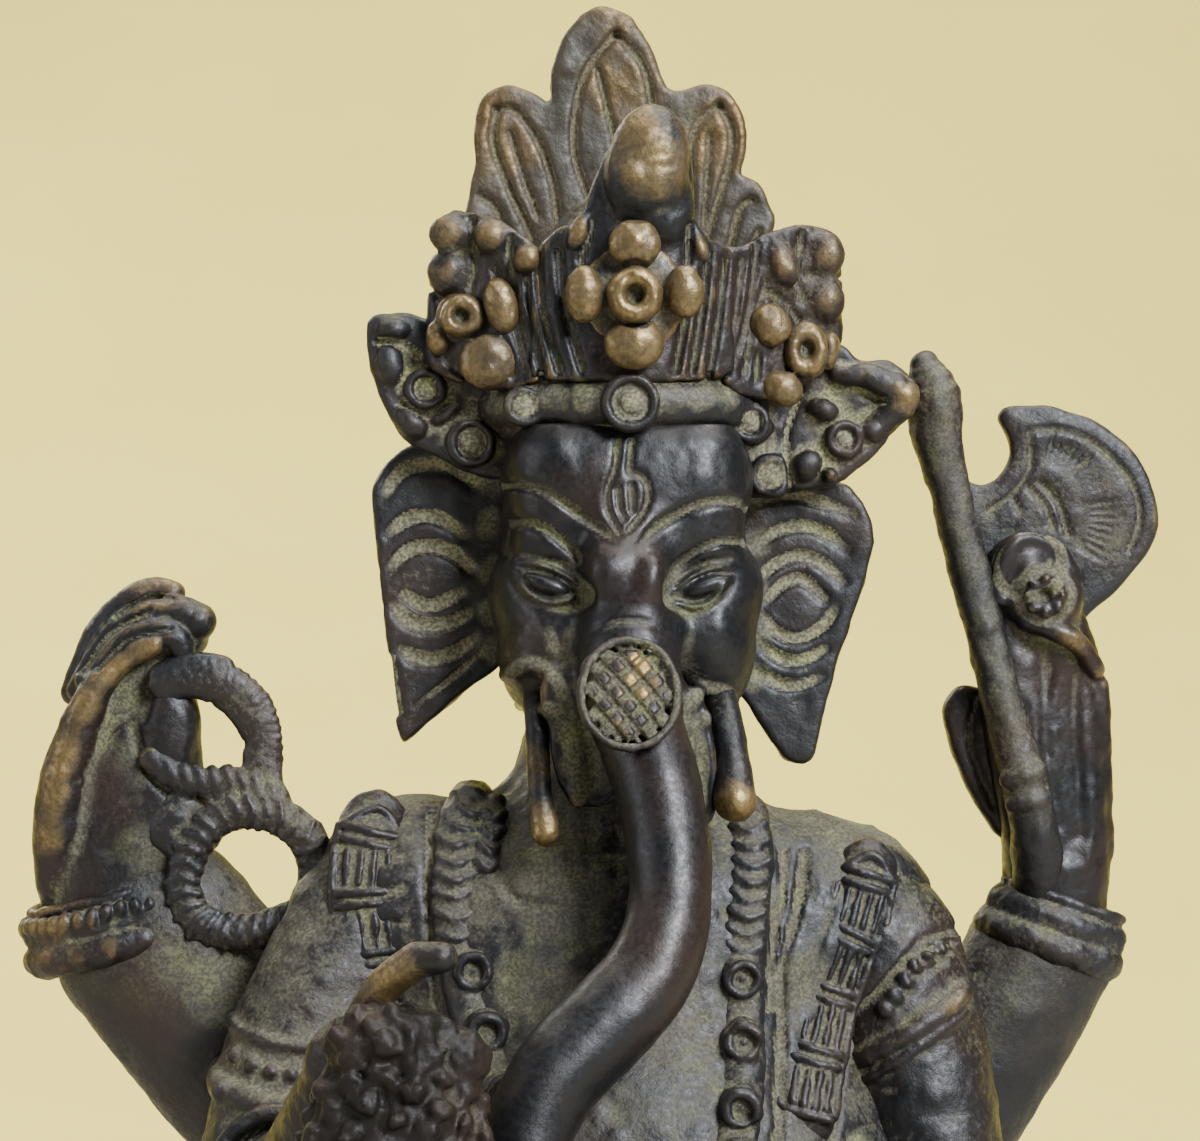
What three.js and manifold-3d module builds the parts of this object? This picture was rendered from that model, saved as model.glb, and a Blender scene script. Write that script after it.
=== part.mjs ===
// A seated four-armed Ganesha figure on a double-lotus pedestal, cast in bronze as separate pieces
// that are let into each other, pinned and collared. Millimetres, +Z up, the figure faces -Y.
// The origin is the centre of the pedestal's resting face.
import * as THREE from "three";
import { mergeVertices } from "three/addons/utils/BufferGeometryUtils.js";
import Module from "manifold-3d";

const wasm = await Module();
wasm.setup();

// ---- Driving dimensions ----------------------------------------------------------------------
const GAP = 0.3; // the clearance left between any two castings
const LET_IN = 1.8; // how far a limb or an ear sinks into the casting that carries it
const BASE_R = 54; // the pedestal's half width
const BASE_DEPTH = 0.7; // its depth over its width
const BASE_H = 36; // the pedestal's height, which the figure sits on
const WALL = 5; // the pedestal's top wall
const PLATE_T = 1.5; // the sealing plate's thickness
const PLATE_R = 51.3; // the sealing plate's half width
const PETALS = 14; // lotus petals in each row
const LUG_X = 16; // the two lugs under the figure, either side of its axis
const LUG_R = 3;
const NECK_Z = 107; // the joint between the body's neck and the head
const CROWN_Z = 137; // the joint between the head and the crown
const HEAD_Y = 8; // the skull's centre
const EAR_Y = 8; // the ears' mid plane
const EAR_T = 2.6; // the ears' thickness
const ARM_Y = 12; // the rear arms' mid plane
const MEDAL_R = 4.9; // the roundel at the root of the trunk
const MEDAL_T = 2.4;
const MEDAL_LEAN = THREE.MathUtils.degToRad(23);

// ---- Materials -------------------------------------------------------------------------------
const darkBronze = () => new THREE.MeshStandardMaterial({ color: 0x3a3028, roughness: 0.45, metalness: 0.8 });
const wornBronze = () => new THREE.MeshStandardMaterial({ color: 0x7d5f36, roughness: 0.4, metalness: 0.9 });
const copper = () => new THREE.MeshStandardMaterial({ color: 0x8a4f35, roughness: 0.5, metalness: 0.9 });

// ---- Solids from three.js geometry -----------------------------------------------------------
function solid(geometry) {
  const bare = geometry.index ? geometry : geometry.clone();
  bare.deleteAttribute("normal");
  bare.deleteAttribute("uv");
  const merged = mergeVertices(bare, 1e-3);
  const vertProperties = new Float32Array(merged.attributes.position.array);
  const triVerts = new Uint32Array(merged.index.array);
  const make = () => new wasm.Manifold(new wasm.Mesh({ numProp: 3, vertProperties, triVerts }));
  const made = make();
  if (made.volume() > 0) return made;
  for (let i = 0; i < triVerts.length; i += 3)
    [triVerts[i + 1], triVerts[i + 2]] = [triVerts[i + 2], triVerts[i + 1]];
  return make();
}

const join = (first, ...others) => others.reduce((all, next) => all.add(next), first);
// Takes the others away from the first and keeps the one body that is left, without its crumbs.
function cut(first, ...others) {
  const left = others.reduce((all, next) => all.subtract(next), first);
  return left.decompose().sort((a, b) => b.volume() - a.volume())[0];
}

// An ellipsoid, which grow makes larger all round.
function ball([x, y, z], [rx, ry, rz], grow = 0, sides = 12) {
  const g = new THREE.SphereGeometry(1, sides, Math.round(sides * 0.6));
  g.rotateX(Math.PI / 2);
  g.scale(rx + grow, ry + grow, rz + grow);
  return solid(g.translate(x, y, z));
}

// An elliptical drum standing on z = low.
function drum([x, y], [rx, ry], low, high, sides = 24) {
  const g = new THREE.CylinderGeometry(1, 1, high - low, sides);
  g.rotateX(Math.PI / 2);
  g.scale(rx, ry, 1);
  return solid(g.translate(x, y, (low + high) / 2));
}

function box(low, high) {
  const size = high.map((h, i) => h - low[i]);
  const g = new THREE.BoxGeometry(...size);
  return solid(g.translate(...low.map((l, i) => l + size[i] / 2)));
}

// A body of revolution about +Z from [radius, height] points that start and end on the axis.
function turned(profile, sides) {
  const g = new THREE.LatheGeometry(profile.map(([r, z]) => new THREE.Vector2(r, z)), sides);
  return g.rotateX(Math.PI / 2);
}

// A round-ended limb along a smooth curve. Each point is [x, y, z, radius]; flat scales its depth.
function limb(points, { grow = 0, flat = 1, sides = 8, steps = 8 } = {}) {
  const curve = new THREE.CatmullRomCurve3(points.map(([x, y, z]) => new THREE.Vector3(x, y, z)));
  const radius = (t) => {
    const at = Math.min(t * (points.length - 1), points.length - 1.0001);
    const i = Math.floor(at);
    return THREE.MathUtils.lerp(points[i][3], points[i + 1][3], at - i) + grow;
  };
  const caps = [-90, -55, -25];
  const profile = [
    ...caps.map((a) => [radius(0) * Math.cos(THREE.MathUtils.degToRad(a)), a / 90, 0]),
    ...Array.from({ length: steps + 1 }, (_, i) => [radius(i / steps), 0, i / steps]),
    ...caps.toReversed().map((a) => [radius(1) * Math.cos(THREE.MathUtils.degToRad(a)), -a / 90, 1]),
  ];
  const rows = profile.map(([r], i) => new THREE.Vector2(i === 0 || i === profile.length - 1 ? 0 : r, i));
  const g = new THREE.LatheGeometry(rows, sides);
  const p = g.attributes.position;
  for (let i = 0; i < p.count; i++) {
    const [, past, t] = profile[Math.round(p.getY(i))];
    const along = curve.getTangentAt(t);
    const reference = Math.abs(along.y) > 0.85 ? new THREE.Vector3(1, 0, 0) : new THREE.Vector3(0, 1, 0);
    const across = new THREE.Vector3().crossVectors(along, reference).normalize();
    const depth = new THREE.Vector3().crossVectors(across, along);
    const sine = Math.sign(past) * Math.sin((Math.abs(past) * Math.PI) / 2) * radius(t);
    const at = curve.getPointAt(t).addScaledVector(along, sine);
    at.addScaledVector(across, p.getX(i)).addScaledVector(depth, p.getZ(i) * flat);
    p.setXYZ(i, at.x, at.y, at.z);
  }
  return solid(g);
}

// A flat plate whose outline is drawn in the front plane, smooth through its [x, z] points.
function plate(outline, y, thickness, { smooth = true, divisions = 24 } = {}) {
  const points = outline.map(([x, z]) => new THREE.Vector2(x, z));
  const loop = new THREE.CatmullRomCurve3(outline.map(([x, z]) => new THREE.Vector3(x, z, 0)), true);
  const curved = loop.getPoints(divisions).slice(0, -1).map((v) => new THREE.Vector2(v.x, v.y));
  const edge = smooth ? curved : points;
  const g = new THREE.ExtrudeGeometry(new THREE.Shape(edge), { depth: thickness, bevelEnabled: false });
  g.rotateX(Math.PI / 2);
  return solid(g.translate(0, y + thickness / 2, 0));
}

// ---- The pedestal, its sealing plate and their pins -------------------------------------------
const LOTUS = [
  [0, 0], [BASE_R, 0], [BASE_R, 3.2], [51.5, 4.4], [53, 7.5], [50.5, 12], [45, 16], [45, 18.5],
  [49.5, 22], [52.5, 27], [51.5, 31], [48.5, 33], [47.5, BASE_H], [0, BASE_H],
];
const CAVITY = [
  [0, -1], [PLATE_R + GAP, -1], [PLATE_R + GAP, PLATE_T + GAP], [45.5, PLATE_T + GAP], [45.5, 5],
  [40, 15], [40, 20], [45, 27], [44, BASE_H - WALL], [0, BASE_H - WALL],
];
const PETAL_ROWS = [[5, 15], [20, 32]];

function pedestalCasting() {
  const outer = turned(LOTUS, PETALS * 3);
  const p = outer.attributes.position;
  for (let i = 0; i < p.count; i++) {
    const z = p.getZ(i);
    const row = PETAL_ROWS.findIndex(([low, high]) => z > low && z < high);
    if (row < 0) continue;
    const turn = Math.atan2(p.getY(i), p.getX(i)) * PETALS + row * Math.PI;
    const swell = 1 + 0.025 * (Math.abs(Math.cos(turn / 2)) - 0.6);
    p.setX(i, p.getX(i) * swell);
    p.setY(i, p.getY(i) * swell);
  }
  outer.scale(1, BASE_DEPTH, 1);
  return cut(solid(outer), solid(turned(CAVITY, 36).scale(1, BASE_DEPTH, 1)));
}

const PIN_R = 0.9;
const PIN_TOP = 5; // blind holes for the plate's pins end here
const pinPlaces = [0, 1, 2, 3].map((i) => {
  const turn = Math.PI / 4 + (i * Math.PI) / 2;
  return [48.3 * Math.cos(turn), 48.3 * BASE_DEPTH * Math.sin(turn)];
});
const pinHoles = pinPlaces.map((at) => drum(at, [PIN_R + GAP, PIN_R + GAP], -1, PIN_TOP, 10));
const lugHoles = [-LUG_X, LUG_X].map((x) => drum([x, 4], [LUG_R + GAP, LUG_R + GAP], 20, BASE_H + 1, 14));

// ---- The body: belly, chest, shoulders and folded legs, one hollow casting -----------------------
const torso = (grow = 0) =>
  join(
    ball([0, 4, 62], [30, 23, 25], grow, 16),
    ball([0.5, 6, 84], [28, 16.5, 19], grow, 14),
    ball([-21, 6, 91], [10, 10, 10.5], grow, 10),
    ball([22, 6, 88.5], [10, 10, 10.5], grow, 10),
    limb([[0, 9, 92, 12.5], [0, 9, 104, 10]], { grow, steps: 2, sides: 12 }),
  );
const SHIN_LEFT = [[-44, -14, 43, 7], [-22, -25, 42.5, 6], [-4, -28, 41.5, 4.6], [10, -29, 40.5, 3.6]];
const SHIN_RIGHT = [[44, -13, 44, 7], [24, -21, 47, 6], [6, -25, 50, 4.8], [-8, -25.5, 50.5, 3.6]];
const legs = (grow = 0) =>
  join(
    ball([0, 8, 44], [33, 23, 14], grow, 14),
    limb([[-14, 0, 47, 11], [-34, -7, 45.5, 10], [-45, -13, 43.5, 8]], { grow, steps: 3 }),
    limb([[14, 0, 47, 11], [34, -7, 45.5, 10], [45, -13, 43.5, 8]], { grow, steps: 3 }),
    limb(SHIN_LEFT, { grow, steps: 5 }),
    limb(SHIN_RIGHT, { grow, steps: 5 }),
  );
const lugs = () => join(...[-LUG_X, LUG_X].map((x) => drum([x, 4], [LUG_R, LUG_R], 24, 42, 14)));
const lugPin = (x, grow = 0) =>
  solid(new THREE.CylinderGeometry(1 + grow, 1 + grow, 12 + 2 * grow, 10).translate(x, 4, 28));
const core = () =>
  join(
    ball([0, 5, 62], [25, 17.5, 20], 0, 14),
    ball([0, 7, 82], [20, 10, 12], 0, 12),
    drum([0, 5], [12, 9], BASE_H - 2, 50, 14),
  );
const spigot = (grow = 0) => drum([0, 9], [4.5 + grow, 4.5 + grow], NECK_Z - 9 - grow, NECK_Z + 6, 12);

// ---- The head, its trunk, tusks and ears ---------------------------------------------------------
const skull = (grow = 0) =>
  join(
    ball([0, HEAD_Y, 126.5], [13, 13, 16], grow, 16),
    ball([0, 2.5, 131], [12.2, 9.5, 7.5], grow),
    ball([-7.2, 2.5, 117], [5.8, 8.2, 8.5], grow, 10),
    ball([7.2, 2.5, 117], [5.8, 8.2, 8.5], grow, 10),
    ball([0, -4, 119.5], [6, 7.5, 8], grow, 12),
    drum([0, 9], [9.5 + grow, 9.5 + grow], NECK_Z + GAP - grow, 118, 16),
  );
const trunkTenon = (grow = 0) => limb([[0, -2, 118, 2], [0, -8, 111, 2]], { grow, steps: 2, sides: 8 });
const trunk = (grow = 0) =>
  limb(
    [
      [0, -9.5, 113, 5], [0.5, -12.5, 107.5, 4.8], [2.2, -15.5, 101, 4.4], [3, -17.2, 95, 4.2],
      [2.4, -19, 90, 4.2], [0, -20.8, 85.5, 4.3], [-4.6, -22.8, 81, 4.3], [-8.6, -24.6, 77, 4],
      [-10.2, -26, 72, 3.6], [-10.4, -28, 66.5, 3.1], [-10.6, -31.5, 61.5, 2.6], [-14.5, -34.5, 58, 2.3],
      [-19, -35, 58.5, 2.1],
    ],
    { grow, steps: 20, sides: 8 },
  );
const TUSKS = {
  left: [[-8, -2, 114, 2.2], [-8.4, -7.5, 106, 1.6], [-8, -9.6, 98.4, 1.4]],
  right: [[8.2, -2, 114, 2.4], [9.4, -7.6, 106, 2], [10.1, -10.6, 101.6, 2.1]],
};
const tusk = (side, grow = 0) => limb(TUSKS[side], { grow, steps: 4, sides: 8 });
const EAR_LEFT = [
  [-9, 136.5], [-16, 137], [-21.2, 136.2], [-24.4, 133], [-24.6, 128.9], [-23.5, 118.8],
  [-22.8, 110.8], [-21.9, 107], [-20.8, 107], [-16, 111.3], [-12, 114.2], [-9, 118],
];
const EAR_RIGHT = [
  [9, 134.5], [17, 133.4], [22.9, 132.4], [25.4, 128.9], [25.2, 123.9], [22.4, 115.8],
  [20.8, 109.7], [19.4, 104.9], [16.8, 104.7], [15.3, 106.7], [12.4, 111], [9, 116],
];
const ears = {
  left: (grow = 0) => plate(EAR_LEFT, EAR_Y, EAR_T + 2 * grow, { smooth: false }),
  right: (grow = 0) => plate(EAR_RIGHT, EAR_Y, EAR_T + 2 * grow, { smooth: false }),
};
// The slot that a piece fills in its host, a little deeper and wider than the piece.
const slotFor = (piece, host) => cut(piece(GAP), host(-LET_IN - GAP));
// The roundel: an oval disc that lies back along the slope of the trunk's root.
const medallion = (grow = 0) => {
  const disc = new THREE.CylinderGeometry(MEDAL_R + grow, MEDAL_R + grow, MEDAL_T + 2 * grow, 20);
  disc.scale(1, 1, 1.07).rotateX(-MEDAL_LEAN);
  return solid(disc.translate(0, -14.8, 112.3));
};

// ---- The crown -------------------------------------------------------------------------------
const hairCone = (grow = 0) => {
  const sides = [[10, CROWN_Z + GAP], [11, 142], [10, 150], [7, 158]].map(([r, z]) => [r + grow, z]);
  const cone = turned([[0, CROWN_Z + GAP], ...sides, [0, 161 + grow]], 20);
  return solid(cone.translate(0, HEAD_Y - 1, 0));
};
const band = (grow = 0) =>
  drum([0.2, HEAD_Y - 1.5], [13.6 + grow, 13.2 + grow], CROWN_Z + GAP - grow, 142.6 + grow, 28);
const LEAF_CENTRE = [
  [-5.2, 142.9], [-6, 148], [-6.3, 153], [-4, 157], [-2.8, 161], [-0.4, 166.2], [2.2, 168.4],
  [4.9, 166], [6.3, 161], [6.6, 157], [7.6, 153.5], [7.2, 148], [6.4, 142.9],
];
const LEAF_SIDE = [
  [-5, 142.9], [-5.6, 150], [-5.2, 157], [-1.5, 159], [3, 157.6], [5.6, 154], [5.4, 148], [5, 142.9],
];
const sideLeaves = {
  left: { at: [-13.2, 0.5], turn: -0.5, drop: 0 },
  right: { at: [15.8, 0.5], turn: 0.62, drop: -1.2 },
};
// A side leaf is drawn flat, turned about +Z to face outwards and moved to its corner of the crown.
function atCorner(shape, { at, turn, drop }) {
  const degrees = THREE.MathUtils.radToDeg(turn);
  return shape.rotate([0, 0, degrees]).translate([at[0], at[1], drop]);
}
const leafCentre = (grow = 0) =>
  join(plate(LEAF_CENTRE, -6.2, 3.2 + 2 * grow), ball([1.9, -6.8, 161.8], [4.2, 3.4, 6.4], grow, 12));
const leafSide = (corner, grow = 0) => {
  const shape = plate(LEAF_SIDE, 0, 3.4 + 2 * grow, { divisions: 16 });
  return atCorner(corner.turn < 0 ? shape : shape.mirror([1, 0, 0]), corner);
};
// A flower: a drilled boss in the middle of four petals, as one small casting.
function flower([x, y, z], boss, reach) {
  const petals = [0, 1, 2, 3].map((i) => {
    const turn = (i * Math.PI) / 2;
    const size = i % 2 ? [boss * 0.95, 1.6, boss * 0.85] : [boss * 0.75, 1.5, boss];
    return ball([x + reach * Math.cos(turn), y + 0.4, z + reach * Math.sin(turn)], size, 0, 8);
  });
  const ring = new THREE.CylinderGeometry(boss, boss, 3.4, 12).translate(x, y - 0.2, z);
  const hole = new THREE.CylinderGeometry(boss * 0.35, boss * 0.35, 1.6, 8).translate(x, y - 1.8, z);
  return cut(join(solid(ring), ...petals), solid(hole));
}
const PLUME = [
  [-10, 150], [-15, 160], [-14.9, 163.8], [-14.1, 166.8], [-14, 171], [-11.6, 173.2], [-6.6, 171.8],
  [-6.4, 176], [-4.6, 179.6], [-1, 181.4], [2.6, 179.2], [4.7, 174.6], [5.6, 172.8], [9.6, 173.6],
  [12.8, 171.4], [13.4, 168], [13.2, 164.4], [15.4, 162.8], [16, 159.2], [10.5, 150],
];
const plume = (grow = 0) => plate(PLUME, 14.3, 3 + 2 * grow, { divisions: 40 });
const RIBBON_LEFT = [
  [-24.9, 145.6], [-24.7, 148.2], [-22.4, 148.8], [-19.3, 147.6], [-15, 145], [-12, 139], [-16.5, 136.8],
  [-21.2, 137.4], [-23.4, 139.9],
];
const RIBBON_RIGHT = [
  [22.4, 145.3], [25, 144.8], [28.4, 144.5], [30.3, 142.3], [29.4, 139.3], [26.8, 136.7], [22.9, 133.8],
  [18.5, 134], [12, 137.6], [14, 142],
];

// ---- The rear arms, with the noose and the axe ---------------------------------------------------
const REAR_UPPER = {
  left: [[-25, 12.5, 58, 8], [-32, ARM_Y, 66.5, 9.2], [-39.5, ARM_Y, 77, 9.8], [-46, ARM_Y, 86, 10]],
  right: [[25, 12.5, 57, 7.4], [31.5, ARM_Y, 66, 7.8], [38, ARM_Y, 76, 7.5], [43.4, ARM_Y, 84.5, 7.2]],
};
const REAR_FORE = {
  left: [
    [-49.6, ARM_Y, 93, 8.2], [-49.6, ARM_Y, 100, 7.8], [-48.8, ARM_Y, 107, 6.6], [-47.5, ARM_Y, 115, 4.6],
  ],
  right: [
    [45.4, ARM_Y, 91, 5.7], [45.2, ARM_Y, 100, 5.7], [45, ARM_Y, 108, 5.6], [45, ARM_Y, 115.5, 5.1],
  ],
};
const OPEN_HAND = [
  [-47.6, ARM_Y, 114.5, 4.2], [-47.4, 11.4, 119, 3.8], [-44.6, 10.6, 120.4, 3.2], [-41.6, 10, 118.6, 2.2],
];
const rearUpper = {
  left: (grow = 0) => limb(REAR_UPPER.left, { grow, flat: 0.66 }),
  right: (grow = 0) => limb(REAR_UPPER.right, { grow, flat: 0.72 }),
};
const rearFore = {
  left: (grow = 0) =>
    join(limb(REAR_FORE.left, { grow, flat: 0.68, steps: 6 }), limb(OPEN_HAND, { grow, steps: 6 })),
  right: (grow = 0) =>
    join(
      limb(REAR_FORE.right, { grow, flat: 0.8, steps: 6 }),
      ball([43.6, 9.2, 120.5], [4.4, 4.4, 5], grow, 12),
    ),
};
// A collar round an elbow: an elliptical band tilted in the front plane, bored to pass the arm.
const COLLAR_H = 5.4;
const COLLAR_WALL = 3;
const COLLAR_DEPTH = 0.74; // depth over width
function armlet({ at: [x, y, z], half, tilt }, grow = 0) {
  const drumOf = (r, high) => drum([0, 0], [r, r * COLLAR_DEPTH], -high / 2, high / 2);
  const outside = drumOf(half + grow, COLLAR_H + 2 * grow);
  const bore = drumOf(half - COLLAR_WALL - grow, COLLAR_H + 2);
  return cut(outside, bore).rotate([0, -tilt, 0]).translate([x, y, z]);
}
const haft = (grow = 0) =>
  limb(
    [
      [32, 8.6, 143, 2.5], [33, 8.6, 138, 2.4], [36, 8.6, 126, 2], [38.4, 8.6, 114, 2],
      [40, 8.4, 101, 2.1], [40.8, 8.2, 95, 2.4],
    ],
    { grow, steps: 12 },
  );
const BLADE = [
  [35, 133.4], [37.8, 132.2], [39.9, 133.2], [40.8, 136.1], [39.6, 139.4], [40.6, 140.8], [45.5, 140.8],
  [50.7, 138.3], [54.9, 134], [56.3, 129], [54.8, 124.9], [50.7, 120.8], [47.6, 118.8], [42, 117.5],
  [37, 119],
];
const blade = (grow = 0) => plate(BLADE, 12.6, 1.8 + 2 * grow, { divisions: 34 });
const SCARF = [[34, 110], [36.6, 111.5], [41, 110.5], [42, 99], [39.4, 97.2], [37, 100], [35.2, 103.4]];
const noose = (grow = 0) => {
  const ring = new THREE.TorusGeometry(6.3, 2 + grow, 6, 20).rotateX(Math.PI / 2).scale(1, 0.85, 0.94);
  const loop = limb(
    [
      [-46, 6.2, 110, 1.7], [-42.6, 6, 113.2, 1.9], [-38, 6, 112.8, 1.9], [-35.3, 6, 109, 1.9],
      [-34.9, 6, 104.8, 1.9], [-37.4, 6, 101.6, 1.9], [-42, 6, 102.4, 1.8], [-46.5, 6.2, 105.6, 1.6],
    ],
    { grow, flat: 0.9, steps: 16, sides: 6 },
  );
  return join(solid(ring.translate(-36.7, 4.4, 94)), loop);
};

// ---- The front arms and what they hold -------------------------------------------------------------
const FRONT_UPPER = {
  left: [[-26, 3.4, 89, 7.3], [-31, 0, 77, 7.8], [-34.5, -5, 66, 7]],
  right: [[25.5, 3, 86, 8.4], [28.2, 0.5, 76, 8], [30.2, -2.5, 66, 7]],
};
const frontUpper = {
  left: (grow = 0) => limb(FRONT_UPPER.left, { grow, steps: 6 }),
  right: (grow = 0) => limb(FRONT_UPPER.right, { grow, steps: 6 }),
};
const frontFore = {
  left: (grow = 0) =>
    limb(
      [
        [-33.5, -8, 64, 6], [-31.5, -17, 67, 5.4], [-28, -24, 72.5, 4.8], [-25.6, -28, 79, 4.2],
        [-23.6, -31, 84.6, 3.1], [-20.6, -34, 87.2, 2.4], [-17, -36, 86.6, 2],
      ],
      { grow, steps: 14 },
    ),
  right: (grow = 0) =>
    join(
      limb([[30.2, -6, 62, 6], [30.4, -15, 59.5, 5.2], [27.5, -23.5, 58.5, 4.2]], { grow, steps: 5 }),
      ball([25.6, -27.6, 58], [4.4, 5.2, 4.6], grow, 12),
    ),
};
const sweets = (grow = 0) => ball([-22, -36.2, 73.5], [9.2, 6.4, 11.6], grow, 16);
const HELD_TUSK = [[26, -30.4, 52, 1.3], [25.4, -31.5, 60, 2.2], [24.4, -32.8, 68, 1.6]];
const brokenTusk = (grow = 0) => limb(HELD_TUSK, { grow, steps: 4, sides: 8 });

// ---- Dress: the garland and the two shoulder scarves -------------------------------------------------
const garland = (grow = 0) =>
  limb(
    [
      [-13.8, 1, 101.4, 2.4], [-15.8, -4.8, 96, 2.7], [-16, -8.6, 88, 2.7], [-14, -12, 79, 2.6],
      [-10, -16.5, 69, 2.4], [-3, -19, 61, 2.4], [5, -18.8, 61, 2.4], [10.2, -15.8, 70, 2.6],
      [10.8, -11.8, 80, 2.7], [11.4, -8.6, 89, 2.7], [12, -4.6, 96, 2.5], [11.8, 0.6, 99.8, 2.3],
    ],
    { grow, flat: 0.8, steps: 22, sides: 6 },
  );
const SCARVES = {
  left: [
    [-21.8, 4, 99.6, 2.8], [-24.2, -1, 97.4, 3], [-24.8, -4.8, 92, 3.1], [-24, -8.4, 84, 3.1],
    [-21.6, -13.5, 74, 2.8],
  ],
  right: [
    [20.2, 5, 96.8, 2.8], [23, -0.6, 94.8, 3], [22.6, -5.4, 90.6, 3.1], [20, -9.6, 83.4, 3.1],
    [16.8, -13.4, 74, 2.8],
  ],
};

// ---- Fitting the castings to each other ---------------------------------------------------------------
const underFigure = box([-80, -80, -10], [80, 80, BASE_H + GAP]);
const aboveNeck = box([-11.5, -3, NECK_Z], [11.5, 21, NECK_Z + 12]);
const aboveCrown = box([-30, -30, CROWN_Z], [30, 40, CROWN_Z + 30]);

const body = cut(
  join(cut(torso(), aboveNeck), legs()),
  underFigure,
  core(),
  spigot(GAP),
  slotFor(rearUpper.left, torso),
  slotFor(rearUpper.right, torso),
  slotFor(frontUpper.left, torso),
  slotFor(frontUpper.right, torso),
).add(cut(lugs(), lugPin(-LUG_X, GAP), lugPin(LUG_X, GAP)));
const bodyNear = () => join(torso(GAP), legs(GAP));

const head = cut(
  cut(skull(), aboveCrown).add(spigot()),
  slotFor(ears.left, skull),
  slotFor(ears.right, skull),
  ...["left", "right"].map((side) => slotFor((grow) => tusk(side, grow), skull)),
  trunkTenon(GAP),
  medallion(GAP),
);
const headNear = skull(GAP);
const tenon = cut(trunkTenon(), medallion(GAP));
const trunkCasting = cut(trunk(), headNear, bodyNear(), medallion(GAP)).add(tenon);

const sealingPlate = drum([0, 0], [PLATE_R, PLATE_R * BASE_DEPTH], 0, PLATE_T, 36);
const platePins = pinPlaces.map((at) => drum(at, [PIN_R, PIN_R], 0.2, PIN_TOP - GAP, 10));

// Each node of the figure: its name, its solid and its metal.
const pieces = [
  ["pedestal", cut(pedestalCasting(), ...pinHoles, ...lugHoles), darkBronze],
  ["base_plate", cut(sealingPlate, ...pinHoles), copper],
  ...platePins.map((pin, i) => [`plate_pin_${i + 1}`, pin, copper]),
  ["body", body, darkBronze],
  ["lug_pin_left", lugPin(-LUG_X), copper],
  ["lug_pin_right", lugPin(LUG_X), copper],
  ["head", head, darkBronze],
  ["trunk", trunkCasting, darkBronze],
  ["trunk_medallion", medallion(), wornBronze],
  ["ear_left", cut(ears.left(), skull(-LET_IN)), darkBronze],
  ["ear_right", cut(ears.right(), skull(-LET_IN)), darkBronze],
  ["tusk_left", cut(tusk("left"), skull(-LET_IN)), wornBronze],
  ["tusk_right_broken", cut(tusk("right"), skull(-LET_IN)), wornBronze],
  ["crown_band", cut(join(band(), hairCone()), plume(GAP), leafCentre(GAP)), darkBronze],
  ["crown_leaf_centre", leafCentre(), wornBronze],
  ["crown_flower_centre", flower([0.6, -10.2, 150.2], 2.9, 4.4), wornBronze],
  ["crown_plume", plume(), darkBronze],
];
for (const [side, corner] of Object.entries(sideLeaves)) {
  const leaf = cut(leafSide(corner), band(GAP), hairCone(GAP));
  const blossom = atCorner(flower([0, -3.8, 149], 2.4, 3.7), corner);
  pieces.push([`crown_leaf_${side}`, leaf, darkBronze], [`crown_flower_${side}`, blossom, wornBronze]);
}
const RIBBONS = { left: RIBBON_LEFT, right: RIBBON_RIGHT };
for (const [side, outline] of Object.entries(RIBBONS)) {
  const room = [band(GAP), hairCone(GAP), skull(GAP), leafSide(sideLeaves[side], GAP)];
  pieces.push([`crown_ribbon_${side}`, cut(plate(outline, 4, 3), ...room), darkBronze]);
}

const ARMLETS = {
  left: { at: [-44.6, ARM_Y, 89.2], half: 13.3, tilt: 7.5 },
  right: { at: [44.7, ARM_Y, 87.6], half: 8.6, tilt: -20 },
};
for (const side of ["left", "right"]) {
  const collar = armlet(ARMLETS[side]);
  const collarRoom = armlet(ARMLETS[side], GAP);
  const upper = cut(rearUpper[side](), torso(-LET_IN), collarRoom);
  const fore = cut(rearFore[side](), rearUpper[side](GAP), collarRoom, haft(GAP), noose(GAP));
  pieces.push([`rear_upper_arm_${side}`, upper, darkBronze], [`rear_forearm_${side}`, fore, darkBronze]);
  pieces.push([`armlet_${side}`, collar, wornBronze]);
  const frontArm = cut(frontUpper[side](), torso(-LET_IN), rearUpper[side](GAP));
  pieces.push([`front_upper_arm_${side}`, frontArm, darkBronze]);
}
const held = { left: sweets, right: brokenTusk };
for (const side of ["left", "right"]) {
  const fore = cut(frontFore[side](), frontUpper[side](GAP), bodyNear(), held[side](GAP));
  pieces.push([`front_forearm_${side}`, fore, darkBronze]);
}
const nooseRoom = [rearUpper.left(GAP), frontUpper.left(GAP), armlet(ARMLETS.left, GAP), torso(GAP)];
pieces.push(
  ["noose", cut(noose(), ...nooseRoom), darkBronze],
  ["axe_haft", haft(), darkBronze],
  ["axe_blade", cut(blade(), haft(GAP), rearFore.right(GAP)), darkBronze],
  ["scarf_end", cut(plate(SCARF, ARM_Y, 3), rearFore.right(GAP), haft(GAP)), darkBronze],
  ["sweets", cut(sweets(), trunk(GAP)), darkBronze],
  ["held_tusk", brokenTusk(), wornBronze],
  ["garland", cut(garland(), bodyNear(), trunk(GAP), aboveNeck), darkBronze],
);
for (const side of ["left", "right"]) {
  const strip = limb(SCARVES[side], { flat: 0.8, sides: 6, steps: 10 });
  const scarf = cut(strip, bodyNear(), frontUpper[side](GAP), rearUpper[side](GAP), garland(GAP));
  pieces.push([`shoulder_scarf_${side}`, scarf, darkBronze]);
}

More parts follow.
